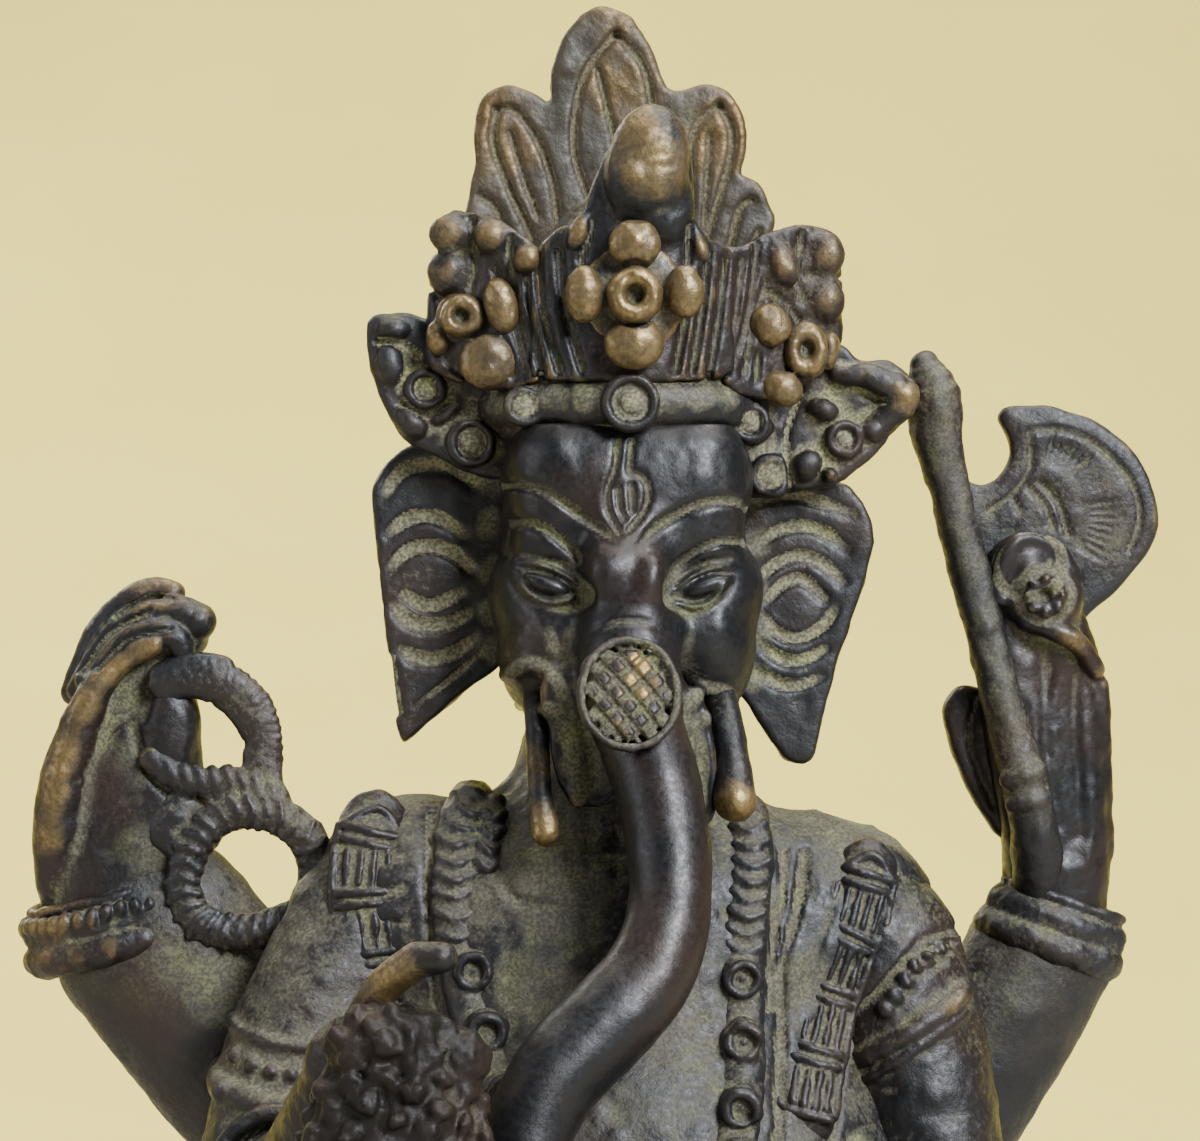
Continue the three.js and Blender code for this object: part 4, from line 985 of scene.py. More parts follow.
def crown():
    """The whole crown: band, leaves and flowers, plume and ribbon ends."""
    crown_band()
    crown_leaf_centre()
    crown_flower_centre()
    crown_plume()
    crown_ribbon_left()
    crown_ribbon_right()
    crown_leaf(
        "left", -1,
        outline=[
            (-19.2, 144), (-19.3, 148.3), (-19, 152.5), (-18.5, 156.6), (-17.2, 158.8), (-15.2, 158.9),
            (-13.2, 158.2), (-11, 157), (-8.6, 154.6), (-8, 148), (-8.2, 142.4), (-14, 141.6),
        ],
        lumps=[
            (-17, 156.8, 1.9, 1.7, 0), (-17.3, 152.9, 1.8, 1.9, 0), (-13, 156.3, 1.5, 1.7, 20),
            (-9.6, 154, 1.3, 1.2, 20),
        ],
        strands=[
            [(-14.9, 158), (-14.6, 154), (-15, 151.4)],
            [(-11.4, 156), (-10.8, 150), (-9.6, 146), (-8.6, 143)], [(-9.6, 152), (-8.9, 147), (-8, 143)],
            [(-18.6, 155.2), (-15.4, 155)], [(-12.8, 153), (-11, 151)],
            [(-12.4, 152), (-10.6, 146.6), (-9.8, 142.6)], [(-11.6, 145), (-10.8, 142.4)],
            [(-18.6, 151.4), (-17.6, 149.8)], [(-18.4, 146), (-16.6, 143.6), (-15, 142.4)],
        ],
        seed=10,
    )
    crown_leaf(
        "right", 1,
        outline=[
            (11.4, 155.6), (14.4, 157.1), (17.7, 158), (19.8, 157.6), (21.3, 156.1), (21.9, 153.4),
            (21.9, 150), (21.8, 146.4), (19, 143), (15, 140.6), (9.6, 142), (9.4, 148), (9.6, 154.6),
        ],
        lumps=[(15.4, 154, 1.5, 2.3, 25), (19.9, 155, 1.9, 2.1, 0), (19.9, 150.6, 1.9, 2.1, 15)],
        strands=[
            [(17.6, 157), (17, 153), (17.6, 150.6)], [(12.9, 155.6), (12.2, 150), (11, 145)],
            [(11.4, 154), (10.6, 148), (9.8, 143)], [(18.2, 153), (21.4, 152.8)],
            [(13.8, 152), (12.4, 147.4), (11.6, 143)], [(14.2, 151), (16, 150), (17.2, 148.4)],
            [(13, 145), (12.8, 142.4)], [(18.4, 141.8), (20.6, 144)],
        ],
        seed=11,
    )
    crown_flower(
        "left", -1, ring=(-15.9, 148.6, 1.6, 1.6),
        petals=[(-12.1, 149.5, 1.5, 2.5, 12), (-13.2, 144.2, 2.7, 2.5, 0), (-18.2, 146.6, 1.1, 1.6, 0)],
        seed=15,
    )
    crown_flower(
        "right", 1, ring=(17.9, 145.5, 1.6, 2),
        petals=[(14.3, 147.8, 1.8, 2, 30), (15.4, 141.7, 2, 1.6, -20), (20.4, 145.6, 1, 1.8, 0)], seed=16,
    )


# ---- The rear arms and what they hold ------------------------------------------------------------
def rear_forearm_left():
    """The rear forearm whose hand holds the noose, dished along its outer side."""
    clay = Clay("rear_forearm_left", cell=0.27, margin=4)
    arm = [
        (-50.3, 12.4, 88, 8), (-50.2, 12.4, 96, 7.9), (-49.8, 12.4, 104, 6.9), (-48.6, 12.2, 111, 5.2),
        (-47.8, 12, 116, 3.6),
    ]
    clay.add(
        limb(arm, flat=0.68), ball((-45.6, 10, 99), (4.4, 3.2, 8)),
        ball((-45, 9.4, 107.6), (3.2, 3.2, 6)), blend=2,
    )
    dish = [(-52.6, 5, 94, 1.6), (-52.2, 5, 101, 2), (-50.8, 5.8, 108.6, 1.7), (-47.8, 6.4, 113, 1.2)]
    clay.cut(limb(dish, flat=0.8), blend=2.2)
    ridge = [
        (-56.6, 10.6, 92, 1.9), (-56.2, 9.4, 97, 2.5), (-55.5, 8.6, 103, 2.4), (-54, 8, 108, 2),
        (-52, 7.6, 112.2, 1.6), (-49.6, 7.4, 114.8, 1.2), (-46.2, 7.4, 116.2, 0.9),
    ]
    clay.add(limb(ridge), blend=0.9)
    fingers = [
        [
            (-54.8, 11.6, 111.6, 1.4), (-52.2, 11.5, 117.2, 1.7), (-49.2, 11.4, 120.6, 1.6),
            (-46.4, 11.2, 121.8, 1.4), (-44.9, 11, 121.6, 1.2),
        ],
        [
            (-54, 10.2, 111.8, 1.4), (-51, 9.8, 116.8, 1.5), (-47.6, 9.4, 119.3, 1.6),
            (-44.4, 9, 119.8, 1.7), (-42.3, 9, 118.7, 2),
        ],
        [
            (-53, 8.8, 112.6, 1.3), (-49.8, 8.2, 116.4, 1.4), (-46.6, 7.8, 117.7, 1.4),
            (-44.2, 7.8, 116.9, 1.5), (-43.4, 8, 115.2, 1.2),
        ],
        [(-51.4, 8, 113.4, 1.1), (-48.8, 7.4, 115.8, 1.1), (-46.4, 7, 116.4, 1)],
    ]
    clay.add(
        ball((-46.8, 11, 117.2), (5, 3.2, 3.6)), ball((-43.6, 10.4, 117.4), (2.4, 2.6, 2.6)), blend=1,
    )
    clay.add(*(limb(finger) for finger in fingers), blend=0.25)
    grooves(
        clay,
        [
            [(-53.6, 113.6), (-50.6, 117.8), (-46.8, 119.8)],
            [(-50.4, 119), (-47.4, 120.9), (-44.6, 120.9)], [(-52, 113.8), (-49, 117), (-44.8, 118)],
        ],
        0.3, 0.5, 11,
    )
    clay.press([(-48.6, 108, 0.4), (-47.6, 105, 1), (-46, 102.6, 1), (-43.6, 100.8, 0.6)], 0.5, 0.8, 12)
    for x, z, radius in ((-47.4, 96, 4), (-46, 90, 4.4), (-48.6, 104, 3)):
        clay.dust(x, z, radius, 0.5)
    clay.noise(2.2, 0.1, 20)
    rubs_and_highlights = [
        (-56.4, 97, 2.6, 1.3), (-56, 102, 2.6, 1.6), (-55, 106, 2.2, 1.5), (-53.2, 110.4, 2, 1.3),
        (-50.4, 114, 1.8, 1.4), (-47, 115.8, 1.6, 1.2), (-46.6, 111.7, 1.6, 0.9), (-57, 92, 2, 0.6),
        (-46, 121.4, 3.4, 0.7), (-51.6, 102, 4, -0.9), (-52.4, 94, 4, -0.6),
    ]
    cast(clay, "dark", rubs_and_highlights=rubs_and_highlights)


def rear_forearm_right():
    """The rear forearm whose hand rests against the axe haft."""
    clay = Clay("rear_forearm_right", cell=0.27, margin=4)
    arm = [
        (45, 12.4, 88, 5.4), (45.2, 12.4, 96, 5.6), (45.2, 12.4, 106, 5.4), (45.2, 12.2, 113, 4.7),
        (44.6, 11, 117, 3.8),
    ]
    clay.add(limb(arm, flat=0.8), blend=1)
    clay.add(limb([(40, 11.4, 119, 3.2), (41, 10.6, 108, 3.8), (43, 10.4, 96, 3.2)], flat=0.8), blend=1.5)
    clay.cut(limb([(46, 6.4, 96, 2), (46.4, 6.2, 104, 2.2), (46.2, 6.4, 111, 1.8)]), blend=1.6)
    clay.add(ball((43.2, 9.4, 120.9), (4.3, 3.8, 4.2)), blend=0.8)
    thumb = [(41.4, 7.4, 118.6, 1), (44, 6.8, 117.8, 1.1), (46.6, 7.6, 116.4, 1.1), (48.6, 9.4, 113.6, 1)]
    clay.add(limb(thumb), blend=0.5)
    clay.add(limb([(49.4, 10.6, 112, 1), (49.9, 11.4, 104, 0.9), (50.1, 12, 95, 0.8)]), blend=0.8)
    for x, z in circle(42.9, 121.3, 1.75, 8):
        clay.add(ball((x, clay.front(x, z) + 0.25, z), 0.72), blend=0.2)
    clay.cut(ball((42.9, clay.front(42.9, 121.3), 121.3), (0.65, 1.2, 0.65)), blend=0.2)
    for i in range(4):
        clay.press(
            [(39.4 + i * 0.3, 124.4 - i), (41 + i * 0.4, 125.4 - i * 0.8), (43.8, 125.2 - i * 0.3)], 0.3,
            0.4, 9,
        )
    hollow_rim = [
        (38.6, 8.6, 121, 0.9), (38.7, 8.2, 124, 1), (40.6, 8.2, 127, 0.9), (43.8, 8.8, 126.6, 0.9),
        (46.2, 9.4, 123.6, 0.9),
    ]
    clay.add(ball((41.3, 10.4, 124.4), (3.4, 3, 3.2)), limb(hollow_rim), blend=0.9)
    grooves(
        clay,
        [
            [(43.6, 114), (43.2, 107), (44.6, 98)], [(46.4, 113), (46.6, 106), (47.2, 97)],
            [(41, 110), (41.6, 103)],
        ],
        0.7, 0.3, 11,
    )
    for x, z, radius, silt in ((41.3, 124.6, 3.6, 0.8), (42.9, 121.2, 2.7, 0.6)):
        clay.press(circle(x, z, radius), 0.7, 0.25, 9, closed=True, silt=silt)
    clay.noise(2.4, 0.1, 21)
    rubs_and_highlights = [
        (46, 116.4, 2, 1), (49, 112.4, 1.8, 1.2), (50, 107, 1.6, 0.8), (50, 98, 2, 0.4), (44, 104, 8, -1),
        (44, 94, 8, -1),
    ]
    cast(clay, "polished", rubs_and_highlights=rubs_and_highlights)


def rear_upper_arm(side, points, flat, seed, clean, crusts):
    """A rear arm from shoulder to elbow, with clean places and crusts of dust on it."""
    clay = Clay(f"rear_upper_arm_{side}", cell=0.36, margin=4)
    clay.add(limb(points, flat=flat)).noise(3, 0.12, seed)
    for crust in crusts:
        clay.dust(*crust)
    cast(clay, "dusty", rubs_and_highlights=clean)


def rear_upper_arms():
    """Both rear arms down to the elbows."""
    rear_upper_arm(
        "left",
        points=[(-22, 13, 58, 9), (-30, 12.6, 66, 10), (-39, 12.4, 77, 10.6), (-46.4, 12.4, 86.4, 10.6)],
        flat=0.68, seed=22, clean=[(-50, 76, 9, -0.8), (-42, 68, 9, -0.9)],
        crusts=[(-45, 84, 3, 0.6), (-40, 82, 4.4, 0.9), (-34, 77, 4.8, 0.8), (-33, 69, 5, 0.6)],
    )
    rear_upper_arm(
        "right",
        points=[(24, 13, 56, 8), (32, 12.6, 66, 8), (38.6, 12.4, 76, 7.8), (43.6, 12.4, 84.6, 7.6)],
        flat=0.75, seed=23, clean=[(44, 74, 9, -0.7), (36, 66, 8, -0.8)],
        crusts=[(41, 82, 5, 0.44), (36, 76, 5, 0.42)],
    )


def armlet(side, centre, half, tilt, studs, metal, rubs_and_highlights, seed):
    """A thick lower bead, a row of studs and a thin upper bead round the elbow, on a tilt."""
    clay = Clay(f"armlet_{side}", cell=0.25, margin=4)
    sine, cosine = math.sin(math.radians(tilt)), math.cos(math.radians(tilt))
    depth = half * 0.74

    def around(height, grow, radius, count=30):
        ring = []
        for t in turns(count):
            angle = t + math.pi / count
            out, back = (half + grow) * math.cos(angle), (depth + grow) * math.sin(angle)
            x, z = out * cosine - height * sine, out * sine + height * cosine
            ring.append((centre[0] + x, centre[1] + back, centre[2] + z, radius))
        return ring

    clay.add(
        limb(around(-1.8, -1.7, 2), closed=True), limb(around(0.8, -1.9, 1.6), closed=True), blend=0.4,
    )
    clay.add(
        limb(around(-0.4, -2.6, 2), closed=True), limb(around(1.8, -2.6, 1.3), closed=True), blend=0.4,
    )
    clay.add(
        limb(around(2.9, -1.6, 0.6), closed=True), limb(around(0.1, -0.7, 0.45), closed=True), blend=0.25,
    )
    if studs:
        clay.add(*(ball(stud[:3], (0.72, 0.8, 0.95)) for stud in around(1.6, -0.7, 1, studs)), blend=0.3)
    cast(clay.noise(1.8, 0.12, seed), metal, rubs_and_highlights=rubs_and_highlights)


def armlets():
    """The two armlets; only the one on the viewer's left has studs."""
    armlet(
        "left", centre=(-50.6, 12, 88.3), half=9.6, tilt=13.7, studs=38, metal="dark",
        rubs_and_highlights=[(-57, 87.4, 3.4, 1.2), (-51, 87.6, 2, 0.9), (-45, 91, 1.5, 0.8)], seed=24,
    )
    armlet(
        "right", centre=(44.9, 12, 87.4), half=7.8, tilt=-20, studs=0, metal="dusty",
        rubs_and_highlights=[(46, 88, 1.4, 0.3)], seed=25,
    )


def axe_haft():
    """The haft, with two rolls near its foot, which sinks into the forearm."""
    clay = Clay("axe_haft", cell=0.27)
    shaft = [
        (31.1, 9, 144.6, 1.5), (32.1, 9, 141.2, 2.8), (32.3, 9, 137.4, 2.6), (33.3, 9, 133.4, 2.2),
        (34.6, 9, 128, 2.1), (36, 9, 122.5, 2.1), (37.6, 8.6, 116, 2.1), (39.6, 8, 108, 2.2),
        (41.2, 7.6, 102, 2.3), (42.4, 8.4, 96, 2.6), (43, 10.4, 91.4, 2.6), (43.2, 12.6, 88, 2.2),
    ]
    clay.add(limb(shaft), blend=0.3)
    for x, z in ((40.8, 103.2), (41.4, 100.6)):
        clay.add(
            limb([(x - 1.6, 6.4, z - 0.5, 0.9), (x, 5.6, z, 0.9), (x + 1.6, 6.4, z + 0.4, 0.9)]),
            blend=0.4,
        )
    clay.press([(x, z) for x, _, z, _ in shaft], 2.2, 0.02, silt=0.42)
    rubs_and_highlights = [(42.6, 96, 4, -0.8), (43.4, 90, 4, -0.8)]
    cast(clay.noise(2, 0.1, 26), "dusty", rubs_and_highlights=rubs_and_highlights)


def axe_blade():
    """The crescent blade with its rim line, its figure and the fan of lines round it."""
    clay = Clay("axe_blade", cell=0.25)
    outline = [
        (35, 134.6), (35.9, 133.1), (37.2, 132.6), (38.6, 132.9), (39.8, 134), (40.4, 135.7),
        (40.1, 137.6), (39.2, 139.2), (39.7, 140.4), (42.1, 140.8), (45.6, 140.5), (49.3, 139.1),
        (52.3, 136.9), (54.6, 133.7), (55.6, 129.8), (55.5, 127.6), (54.4, 125.2), (52.1, 122.4),
        (49.3, 120), (46, 117.6), (38, 117), (34, 126),
    ]
    clay.add(plate(outline, 12.6, 0.9, edge=0.5, dome=0.5, spread=1.5), blend=0.2)
    inner = [
        (42.3, 138.1), (45.6, 138.2), (49, 136.7), (51.8, 134.2), (53.4, 131.2), (53.6, 128.6),
        (52.6, 126),
    ]
    grooves(
        clay, [inner, [(42.2, 137.8), (42.4, 134.8), (41.5, 132.8), (40, 131.2), (38, 129.8)]], 0.34, 0.4,
        silt=0.5,
    )
    grooves(
        clay, [[(42.3, 132.3), (43.8, 130.5), (44.7, 128.2)], [(43.1, 132.9), (45, 131), (46.2, 127.6)]],
        0.36, 0.5, 12.6, silt=0.6,
    )
    grooves(clay, [[(46, 124.6), (47.3, 122.2)], [(40.6, 131), (41.2, 129.9)]], 0.3, 0.4, 12.6)
    for turn in range(-34, 80, 6):
        away = Vector((math.cos(math.radians(turn)), math.sin(math.radians(turn))))
        firm = 0.4 if 8 < turn < 44 else 1
        ends = [
            (42.5 + away.x * r, 129.7 + away.y * r, s * firm)
            for r, s in ((5.4, 0.3), (7, 1), (8.8, 0.3))
        ]
        clay.press(ends, 0.3, 0.42, 12.6, silt=0.36)
    clay.noise(2.5, 0.07, 27)
    rubs_and_highlights = [(52.6, 137, 3, 0.5), (55, 130, 3, 0.6), (46, 140, 3, 0.3)]
    cast(clay, "dusty", rubs_and_highlights=rubs_and_highlights)


def scarf_end():
    """The cloth end that hangs beside the haft."""
    clay = Clay("scarf_end", cell=0.27, margin=4)
    outline = [
        (37.4, 111.6), (35, 111.9), (33.6, 110), (33.7, 107.4), (35.4, 102.5), (37.6, 98.7), (39.4, 96.4),
        (43, 96), (43, 110),
    ]
    clay.add(plate(outline, 12, 1.2, edge=0.7, dome=0.6), blend=0.2)
    clay.press([(36.6, 110.4), (36, 106), (38.4, 100)], 0.5, 0.4)
    cast(clay.noise(2.5, 0.08, 28), "dark")


def noose():
    """A notched strap loop above a corded loop, joined by a knot."""
    clay = Clay("noose", cell=0.25, margin=4)
    strap = [
        (-45, 7.4, 112.8, 2.2), (-42, 7.2, 113.3, 2.5), (-39.2, 7, 112.2, 2.4), (-36.8, 7, 110, 2.3),
        (-35.6, 7, 107, 2.1), (-35.7, 6.8, 104, 2.1), (-35.4, 6.6, 101.6, 2),
    ]
    lower = [
        (-46.6, 7, 105, 1.3), (-44.2, 6.8, 103.4, 1.6), (-41, 6.6, 102.8, 1.7), (-38, 6.4, 102.4, 1.9),
        (-34.8, 6.2, 101, 2),
    ]
    clay.add(limb(strap, flat=0.5), limb(lower, flat=0.6), blend=0.5)
    for turn in range(-24, 126, 8):
        away = Vector((math.cos(math.radians(turn)), math.sin(math.radians(turn))))
        ends = [(-40.4 + away.x * r, 107.6 + away.y * r * 1.02, 1) for r in (3, 5, 7)]
        clay.press(ends, 0.22, 0.16, 8)
    for i in range(8):
        x = -45.6 + i * 1.4
        clay.press([(x, 104.6 - i * 0.1), (x + 0.8, 101.4 - i * 0.1)], 0.26, 0.3, 8)
    cord = [
        (-36.4, 6.2, 99.8, 1.8), (-33, 6, 98.8, 1.9), (-30.7, 5.8, 96.4, 1.9), (-30.2, 5.8, 93, 1.9),
        (-31.6, 5.8, 89.8, 1.9), (-34.8, 5.8, 88.3, 1.8), (-38.4, 6, 87.9, 1.8), (-41.8, 6.2, 88.8, 1.8),
        (-43.4, 6.4, 91.4, 1.8), (-43.2, 6.6, 94.6, 1.7), (-41.4, 6.6, 97.8, 1.8), (-39, 6.4, 99.6, 1.8),
    ]
    clay.add(limb(cord, closed=True, flat=0.8), ball((-44.2, 7.6, 98.4), (3, 1.6, 3.4)), blend=0.8)
    loop = [(x, z) for x, _, z, _ in (*cord, cord[0])]
    clay.add(
        *[crescent(clay, x, z, turn, 1.5, 0.55, 0.42) for x, z, turn in strung(loop, 1.5)], blend=0.15,
    )
    clay.add(ball((-34.8, 5.6, 92), (0.9, 0.9, 0.9)), blend=0.4)
    cast(clay.noise(1.4, 0.1, 29), "dusty")


# ---- The body and its dress ----------------------------------------------------------------------
def strung(path, pitch):
    """Places at an even pitch along a smooth (x, z) path, each with the path's direction there."""
    curve = smooth(path, 0.3)
    run = np.append(0, np.cumsum(np.linalg.norm(np.diff(curve, axis=0), axis=1)))
    at = np.arange(pitch / 2, run[-1], pitch)
    ahead, behind = (
        np.column_stack([np.interp(at + d, run, curve[:, i]) for i in (0, 1)])
        for d in (0.2, -0.2)
    )
    headings = np.arctan2(*(ahead - behind).T[::-1])
    return [(float(x), float(z), float(turn)) for (x, z), turn in zip((ahead + behind) / 2, headings)]


def crescent(clay, x, z, turn, half, sag, radius, sink=0.1):
    """A short bowed ridge laid across a strap that runs in a direction."""
    along, across = (math.cos(turn), math.sin(turn)), (-math.sin(turn), math.cos(turn))
    points = []
    for side in (-1, 0, 1):
        px = x + across[0] * side * half + along[0] * sag * (1 - abs(side))
        pz = z + across[1] * side * half + along[1] * sag * (1 - abs(side))
        points.append((px, clay.front(px, pz) + sink, pz, radius))
    return limb(points, step=0.8)


UPPER_ARMS = {
    "left": [(-26, 3.4, 89, 7.2), (-31, 0, 77, 7.8), (-34.5, -5, 66, 7)],
    "right": [(25.5, 3.2, 86, 8.2), (28.2, 0.5, 76, 8), (30.2, -2.5, 66, 7)],
}
WAIST_Z = 60  # the body is meshed in two parts that meet at this height


def torso(clay):
    """Adds the belly, the chest, the shoulders and the neck."""
    clay.add(ball((0, 4, 62), (30, 23, 25)), ball((0.5, 6, 84), (27.6, 16, 19)), blend=6)
    clay.add(ball((-21, 6, 91), (9.8, 10, 10.4)), ball((22, 6, 88.5), (9.8, 10, 10.4)), blend=5)
    clay.add(limb([(0, 9, 92, 12.5), (0, 9, 106, 9.6)]), blend=5)
    return clay


def figure():
    """The belly, chest and folded legs, cast in one piece and meshed in two."""
    clay = torso(Clay("body", cell=0.4))
    legs(clay)
    robe(clay)
    behind = [math.pi * (i / 20 - 0.15) for i in range(27)]
    hem = [(30.2 * math.cos(t), 4 + 23.4 * math.sin(t), WAIST_Z + 1, 1.2) for t in behind]
    clay.add(limb(hem), blend=0.6)
    for x, z, radius in ((-7, 92, 6.5), (-9, 84, 5), (4, 100, 4), (17, 84, 4)):
        clay.dust(x, z, radius, 0.52)
    clay.noise(2, 0.12, 34)
    for part, side, low, high in (("upper", -1, WAIST_Z - 3, 200), ("lower", 1, 0, WAIST_Z + 3)):
        cast(
            clay.slab(low, high), "dusty", name=f"body_figure_{part}",
            where=lambda x, y, z: side * (z - WAIST_Z), rubs_and_highlights=[(-4, 74, 12, -0.4)],
        )


def robe(clay):
    """The folds of the thin robe on the chest and the shoulders."""
    shapes = [
        [(-14.6, 103.2, 0.6), (-12, 104.4, 1), (-9.2, 104.9, 1)],
        [(-18.8, 99.6, 1), (-19, 93, 1), (-18.8, 88, 1), (-18, 80, 0.7)],
        [(-14.2, 99.6, 1), (-13.6, 97, 1), (-12.2, 94, 1), (-10.4, 91.9, 1), (-7.4, 91.4, 0.6)],
        [(17.6, 96, 1), (16.4, 90.6, 1), (14.9, 85.4, 1), (14.4, 78, 1), (13.6, 70, 1)],
        [(15.6, 96, 0.8), (14.9, 91, 1), (13.6, 85, 1)],
        [(27.4, 92.6, 1), (25.6, 88, 1), (22.6, 82, 1), (20.4, 76, 1), (19, 70, 1)],
        [(13.2, 96, 0.6), (14, 90, 1), (13.6, 82, 1)],
    ]
    grooves(clay, shapes, 0.55, 0.7, 4)
    for i in range(7):
        x = -21.4 + 0.42 * i
        clay.press(
            [(x, 99.4 - 0.1 * i, 0.3), (x - 0.3, 94, 1), (x + 0.1, 88, 1), (x + 0.5, 81, 0.4)], 0.2, 0.18,
            4,
        )
    for i in range(6):
        x = 12.3 + 0.5 * i
        clay.press(
            [(x + 1.2, 97.6, 0.3), (x + 0.6, 91, 1), (x + 0.1, 84, 1), (x, 74, 0.6), (x - 0.6, 66, 0.4)],
            0.22, 0.2, 4,
        )
    for i in range(5):
        clay.press(
            [
                (16.8 + i, 97 - 0.4 * i, 0.3), (16.2 + i, 92, 1), (14.8 + 0.8 * i, 85.6, 0.9),
                (14.6 + 0.5 * i, 79, 0.4),
            ],
            0.4, 0.35, 4,
        )
    for side in (-1, 1):
        for i in range(5):
            z = 98 - 3.2 * i
            clay.press([(side * 21.5, z + 1.4), (side * (25 + i), z), (side * 31, z - 3.4)], 0.45, 0.3)
    for i in range(9):
        x = -11.5 + 2.6 * i
        clay.press([(x, 104 - 0.3 * i, 0.2), (x + 0.6, 98, 0.7), (x - 0.4, 90, 0.4)], 0.5, 0.14, 4)


def legs(clay):
    """The seat and the folded legs, with the folds of the cloth, the anklets and the belt."""
    clay.add(ball((0, 8, 44), (33, 23, 14)), blend=4)
    for side in (-1, 1):
        clay.add(
            limb([(side * 14, 0, 47, 11), (side * 34, -7, 45.5, 10), (side * 45, -13, 43.5, 8)]), blend=4,
        )
    shins = {
        1: [
            (-45, -13, 43, 7.4), (-30, -22, 42.5, 6.6), (-12, -27, 41.8, 4.6), (-2, -28, 41, 3.6),
            (8, -29.2, 39.8, 3.6),
        ],
        -1: [
            (45, -12.6, 43.6, 7.4), (30, -19, 46.4, 6.6), (12, -24, 49.6, 4.8), (2, -25.4, 50.6, 3.6),
            (-7, -26, 50.4, 3.6),
        ],
    }
    for ahead, points in shins.items():
        clay.add(limb(points), blend=0.8)
        x, y, z, _ = points[-1]
        for i in range(5):
            toe = 1.7 - 0.16 * i
            place = (x + ahead * (3.4 - 0.3 * i), y - 1.2 + 0.3 * i, z + 2.8 - 1.5 * i)
            clay.add(ball(place, (toe * 1.5, toe, toe * 0.7)), blend=0.5)
        start, stop = np.array(points[2]), np.array(points[3])
        for part in (0.55, 0.75, 0.95):
            at = start + (stop - start) * part
            ring = [
                (at[0], at[1] + at[3] * math.sin(t), at[2] + at[3] * math.cos(t), 0.7)
                for t in turns(16)
            ]
            clay.add(limb(ring, closed=True), blend=0.4)
    for side in (-1, 1):
        for i in range(7):
            x = side * (16 + 4.4 * i)
            fold = [
                (x, 58 - 1.4 * i, 0.3), (x + side * 3.5, 52 - i, 1), (x + side * 3, 44, 1),
                (x - side * 2, 37, 0.4),
            ]
            clay.press(fold, 1.1, 0.9, -4)
    clay.cut(ball((0.4, -21.6, 57), (2, 2.6, 1.7)), blend=1)
    belt = [(-24, 57.6), (-18, 53.5), (-6, 49.6), (8, 50.6), (19, 54.6), (25, 58.6)]
    clay.press(belt, 1.5, -1.5, 0)
    clay.press([(x, z + 2.6) for x, z in belt], 0.7, 0.7, 0)
    clay.add(*[ball((x, clay.front(x, z) + 0.3, z), 1.25) for x, z, _ in strung(belt, 3)], blend=0.3)


def dress():
    """The garland and the two woven scarves, laid over the torso and the upper arms."""
    under = torso(Clay("body", cell=0.4, margin=2, above=WAIST_Z))
    under.add(*(limb(points) for points in UPPER_ARMS.values()), blend=1)
    garland(under)
    shoulder_scarves(under)


def garland(under):
    """A braid on either side of the neck and a string of round bosses below."""
    clay = Clay("garland", cell=0.27, margin=4)
    route = [
        (-14.2, 101.4), (-16, 98.6), (-16.7, 92), (-16, 86), (-14.2, 79), (-12, 73), (-8.4, 67.4),
        (-3.4, 63), (3, 62.6), (7.8, 66.4), (10, 73), (10.6, 79.4), (10.9, 85.6), (11.5, 91), (12.2, 96),
        (12, 99.6),
    ]
    clay.add(limb(under.draped(route, 2.3, 0.9, step=1.5), flat=0.6), blend=0.3)
    clay.add(
        limb(under.draped([(-12.6, 100.6), (-13.4, 97.4), (-13.9, 95)], 1.4, 0.6), flat=0.6), blend=0.3,
    )
    columns = (
        ([(-14.8, 101.4), (-16.4, 98.6), (-16.7, 94.4)], 1.65, 1.75),
        ([(-16.7, 93.8), (-16.4, 88)], 1.9, 1.9), ([(-12.6, 100.8), (-13.4, 95.4)], 1.5, 1),
        ([(12, 99.8), (12.2, 96), (11.4, 91), (11.1, 87.6)], 1.6, 1.6),
    )
    forms = [
        crescent(clay, x, z, t, half, 0.7, 0.45)
        for path, pitch, half in columns
        for x, z, t in strung(path, pitch)
    ]
    clay.add(*forms, blend=0.15)
    bosses = [
        (-14.9, 85.4), (-13.6, 80), (-12, 74.6), (-9.4, 69.4), (-5.6, 64.9), (0.8, 62.2), (6.6, 65),
        (9.6, 69), (10, 73.4), (10.6, 79.2), (10.8, 84.8),
    ]
    for x, z in bosses:
        y = clay.front(x, z)
        clay.add(ball((x, y + 0.7, z), (2.2, 1.1, 2.2)), blend=0.4)
        clay.add(hoop((x, y - 0.3, z), 1.45, 1.45, 0.55, 0.9), blend=0.15)
        clay.add(ball((x, y, z), (0.6, 0.6, 0.6)), blend=0.1)
    cast(clay.noise(1.6, 0.1, 31), "dusty")


